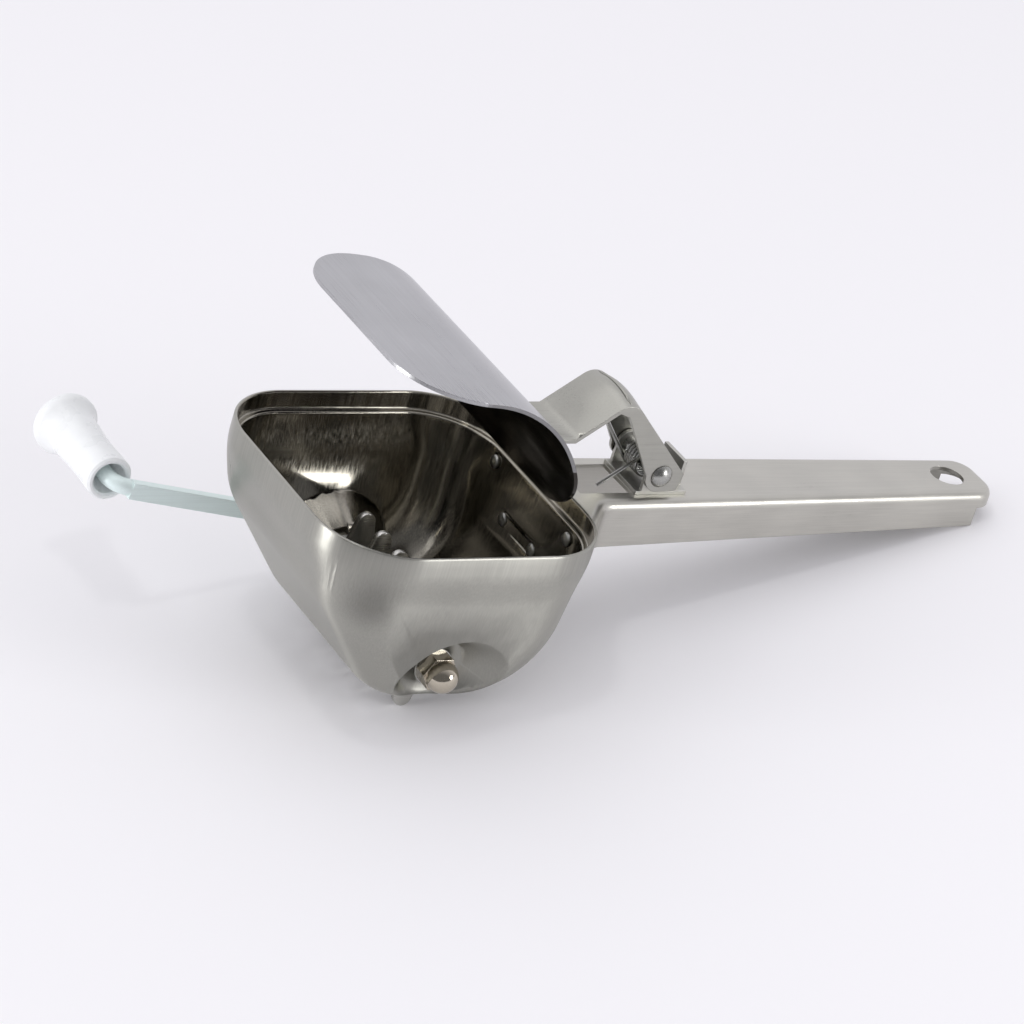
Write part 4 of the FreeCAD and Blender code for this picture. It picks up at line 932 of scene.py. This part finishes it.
class MILL_OT_turned_parts(bpy.types.Operator):
    """Give the shaft, hinge pin, spacers, washers, hub, nut and bushes their finishes"""

    bl_idname = "mill.turned_parts"
    bl_label = "Turned parts"

    def execute(self, context):
        finishes = context.scene.mill_finishes
        spacers = [name for name in frame["nodes"] if name.startswith(("spacer_", "end_spacer_"))]
        give(turned_steel(finishes), "rotor_shaft", "hinge_pin", "front_washer", "crank_hub",
             "knob_washer", *spacers)
        give(nickel_plate(finishes), "acorn_nut")
        give(turned_acetal(finishes), "bush_front", "bush_back")
        return {"FINISHED"}


class MILL_OT_crank_bar(bpy.types.Operator):
    """Give the crank bar its zinc finish"""

    bl_idname = "mill.crank_bar"
    bl_label = "Crank bar"

    def execute(self, context):
        give(zinc_plate(context.scene.mill_finishes), "crank_arm")
        return {"FINISHED"}


class MILL_OT_star_blades(bpy.types.Operator):
    """Make the row of stamped star blades on the shaft"""

    bl_idname = "mill.star_blades"
    bl_label = "Star blades"

    def execute(self, context):
        scene = context.scene
        sizes = scene.mill_blades
        tree = blade_row(blade_steel(scene.mill_finishes))
        seed = new_piece("one blade", star_mesh(sizes))
        row = grown("star_blades", seed, tree, {"Count": sizes.count, "Pitch": sizes.pitch, "Lean": LEAN})
        shade_by_angle(row, 30)
        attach(row, "rotor")
        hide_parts(*["blade_%d" % (i + 1) for i in range(sizes.count)])
        return {"FINISHED"}


class MILL_OT_spring(bpy.types.Operator):
    """Make the torsion spring round the hinge pin"""

    bl_idname = "mill.spring"
    bl_label = "Torsion spring"

    def execute(self, context):
        scene = context.scene
        sizes = scene.mill_spring
        tree = wire_tree(spring_steel(scene.mill_finishes))
        path = path_object("spring path", spring_path(sizes))
        spring = grown("spring_wire", path, tree, {"Radius": sizes.wire, "Sides": sizes.wire_sides})
        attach(spring, "presser")
        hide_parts("torsion_spring")
        return {"FINISHED"}


class MILL_OT_grip(bpy.types.Operator):
    """Make the white moulded grip on the crank's rod"""

    bl_idname = "mill.grip"
    bl_label = "Grip"

    def execute(self, context):
        scene = context.scene
        sizes = scene.mill_grip
        low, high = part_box("knob")
        section = [Vector((radius - 1, along, 0)) for radius, along in grip_section(sizes, low.y, high.y)]
        tree = turning_tree(grip_plastic(scene.mill_finishes))
        seed = path_object("grip section", section, cyclic=True)
        grip = grown("white_grip", seed, tree, {"Segments": sizes.segments})
        # the section's length runs down the circle's axis, which is turned to the rod's
        stand = Matrix.Translation((PIN.x, 0, PIN.z)) @ Matrix.Rotation(math.radians(90), 4, "X")
        turn_on(grip, stand)
        shade_by_angle(grip, 40)
        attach(grip, "knob")
        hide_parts("knob")
        return {"FINISHED"}


def studio_sheet(name, corners, base):
    """Flat matt sheet of the studio."""
    mesh = bpy.data.meshes.new(name)
    mesh.from_pydata(corners, [], [(0, 1, 2, 3)])
    sheet = new_piece(name, mesh)
    paper = new_material(name + " paper", Base_Color=base, Roughness=0.9, Specular_IOR_Level=0.1)[0]
    sheet.data.materials.append(paper)


def soft_lamp(name, place, target, width, power):
    """Round area lamp that looks at a target."""
    lamp = bpy.data.lights.new(name, "AREA")
    lamp.shape = "DISK"
    lamp.size = width
    lamp.energy = power
    holder = new_piece(name, lamp)
    holder.location = place
    holder.rotation_euler = (Vector(target) - Vector(place)).to_track_quat("-Z", "Y").to_euler()


def studio_world(sizes):
    """World that is pale in front of the camera and dim behind it, as in a room with a lit table."""
    world = bpy.data.worlds.new("studio")
    bpy.context.scene.world = world
    world.use_nodes = True
    tree = world.node_tree
    tree.nodes.clear()
    way = add(tree, "ShaderNodeTexCoord").outputs["Generated"]
    factor = remap(tree, vector_math(tree, "DOT_PRODUCT", way, LIT_SIDE), 0.0, 1.0, *LIT_RANGE)
    room = add(tree, "ShaderNodeMix", {0: factor, 6: sizes.room, 7: sizes.backdrop},
               data_type="RGBA").outputs[2]
    # gloss sees the room, and paper is lit evenly from all sides, which keeps the shadows pale
    glossy = add(tree, "ShaderNodeLightPath").outputs["Is Glossy Ray"]
    even = tuple(sizes.floor_light * part for part in sizes.backdrop[:3]) + (1.0,)
    sky = add(tree, "ShaderNodeMix", {0: glossy, 6: even, 7: room}, data_type="RGBA").outputs[2]
    background = add(tree, "ShaderNodeBackground", {"Color": sky, "Strength": 1.0})
    add(tree, "ShaderNodeOutputWorld", {"Surface": background.outputs[0]})


def studio_camera(sizes):
    """Camera at its place, turned by its bearing, elevation and roll."""
    lens = bpy.data.cameras.new("camera")
    lens.lens = sizes.lens
    lens.sensor_width = sizes.sensor
    camera = new_piece("camera", lens)
    bearing, elevation = sizes.bearing, sizes.elevation
    level = math.cos(elevation)
    back = Vector((-math.sin(bearing) * level, -math.cos(bearing) * level, math.sin(elevation)))
    right = Vector((math.cos(bearing), -math.sin(bearing), 0))
    turn = Matrix((right, back.cross(right), back)).transposed()
    # a positive roll lifts the right side of the camera
    turn = turn @ Matrix.Rotation(sizes.roll, 3, "Z")
    camera.matrix_world = Matrix.Translation(sizes.camera) @ turn.to_4x4()
    return camera


class MILL_OT_studio(bpy.types.Operator):
    """Set up the pale floor, the soft lamps and the camera"""

    bl_idname = "mill.studio"
    bl_label = "Studio"

    def execute(self, context):
        scene = context.scene
        sizes = scene.mill_studio
        studio_sheet("floor", FLOOR_CORNERS, sizes.floor)
        studio_world(sizes)
        for lamp in LAMPS:
            soft_lamp(*lamp)
        scene.camera = studio_camera(sizes)
        scene.view_settings.view_transform = "Standard"
        return {"FINISHED"}


class MILL_PT_sidebar(bpy.types.Panel):
    """Sizes, colours and steps of the herb mill"""

    bl_idname = "MILL_PT_sidebar"
    bl_label = "Herb mill"
    bl_space_type = "VIEW_3D"
    bl_region_type = "UI"
    bl_category = "Herb mill"

    def draw(self, context):
        for step in STEPS:
            self.layout.operator(step.bl_idname)
        for name in GROUPS:
            group = getattr(context.scene, name)
            box = self.layout.box()
            for key in group.bl_rna.properties.keys():
                if key not in ("rna_type", "name"):
                    box.prop(group, key)


GROUPS = {
    "mill_finishes": MillFinishes,
    "mill_hopper": HopperSizes,
    "mill_blades": BladeSizes,
    "mill_spring": SpringSizes,
    "mill_arm": ArmSizes,
    "mill_grip": GripSizes,
    "mill_studio": StudioSizes,
}
STEPS = (MILL_OT_sheet_metal, MILL_OT_hopper, MILL_OT_arm, MILL_OT_turned_parts, MILL_OT_crank_bar,
         MILL_OT_star_blades, MILL_OT_spring, MILL_OT_grip, MILL_OT_studio)


def register():
    for name, group in GROUPS.items():
        bpy.utils.register_class(group)
        setattr(bpy.types.Scene, name, PointerProperty(type=group))
    for item in STEPS + (MILL_PT_sidebar,):
        bpy.utils.register_class(item)


def unregister():
    for item in (MILL_PT_sidebar,) + STEPS[::-1]:
        bpy.utils.unregister_class(item)
    for name, group in GROUPS.items():
        delattr(bpy.types.Scene, name)
        bpy.utils.unregister_class(group)


def main():
    register()
    for step in STEPS:
        family, name = step.bl_idname.split(".")
        getattr(getattr(bpy.ops, family), name)()


if __name__ == "__main__":
    main()
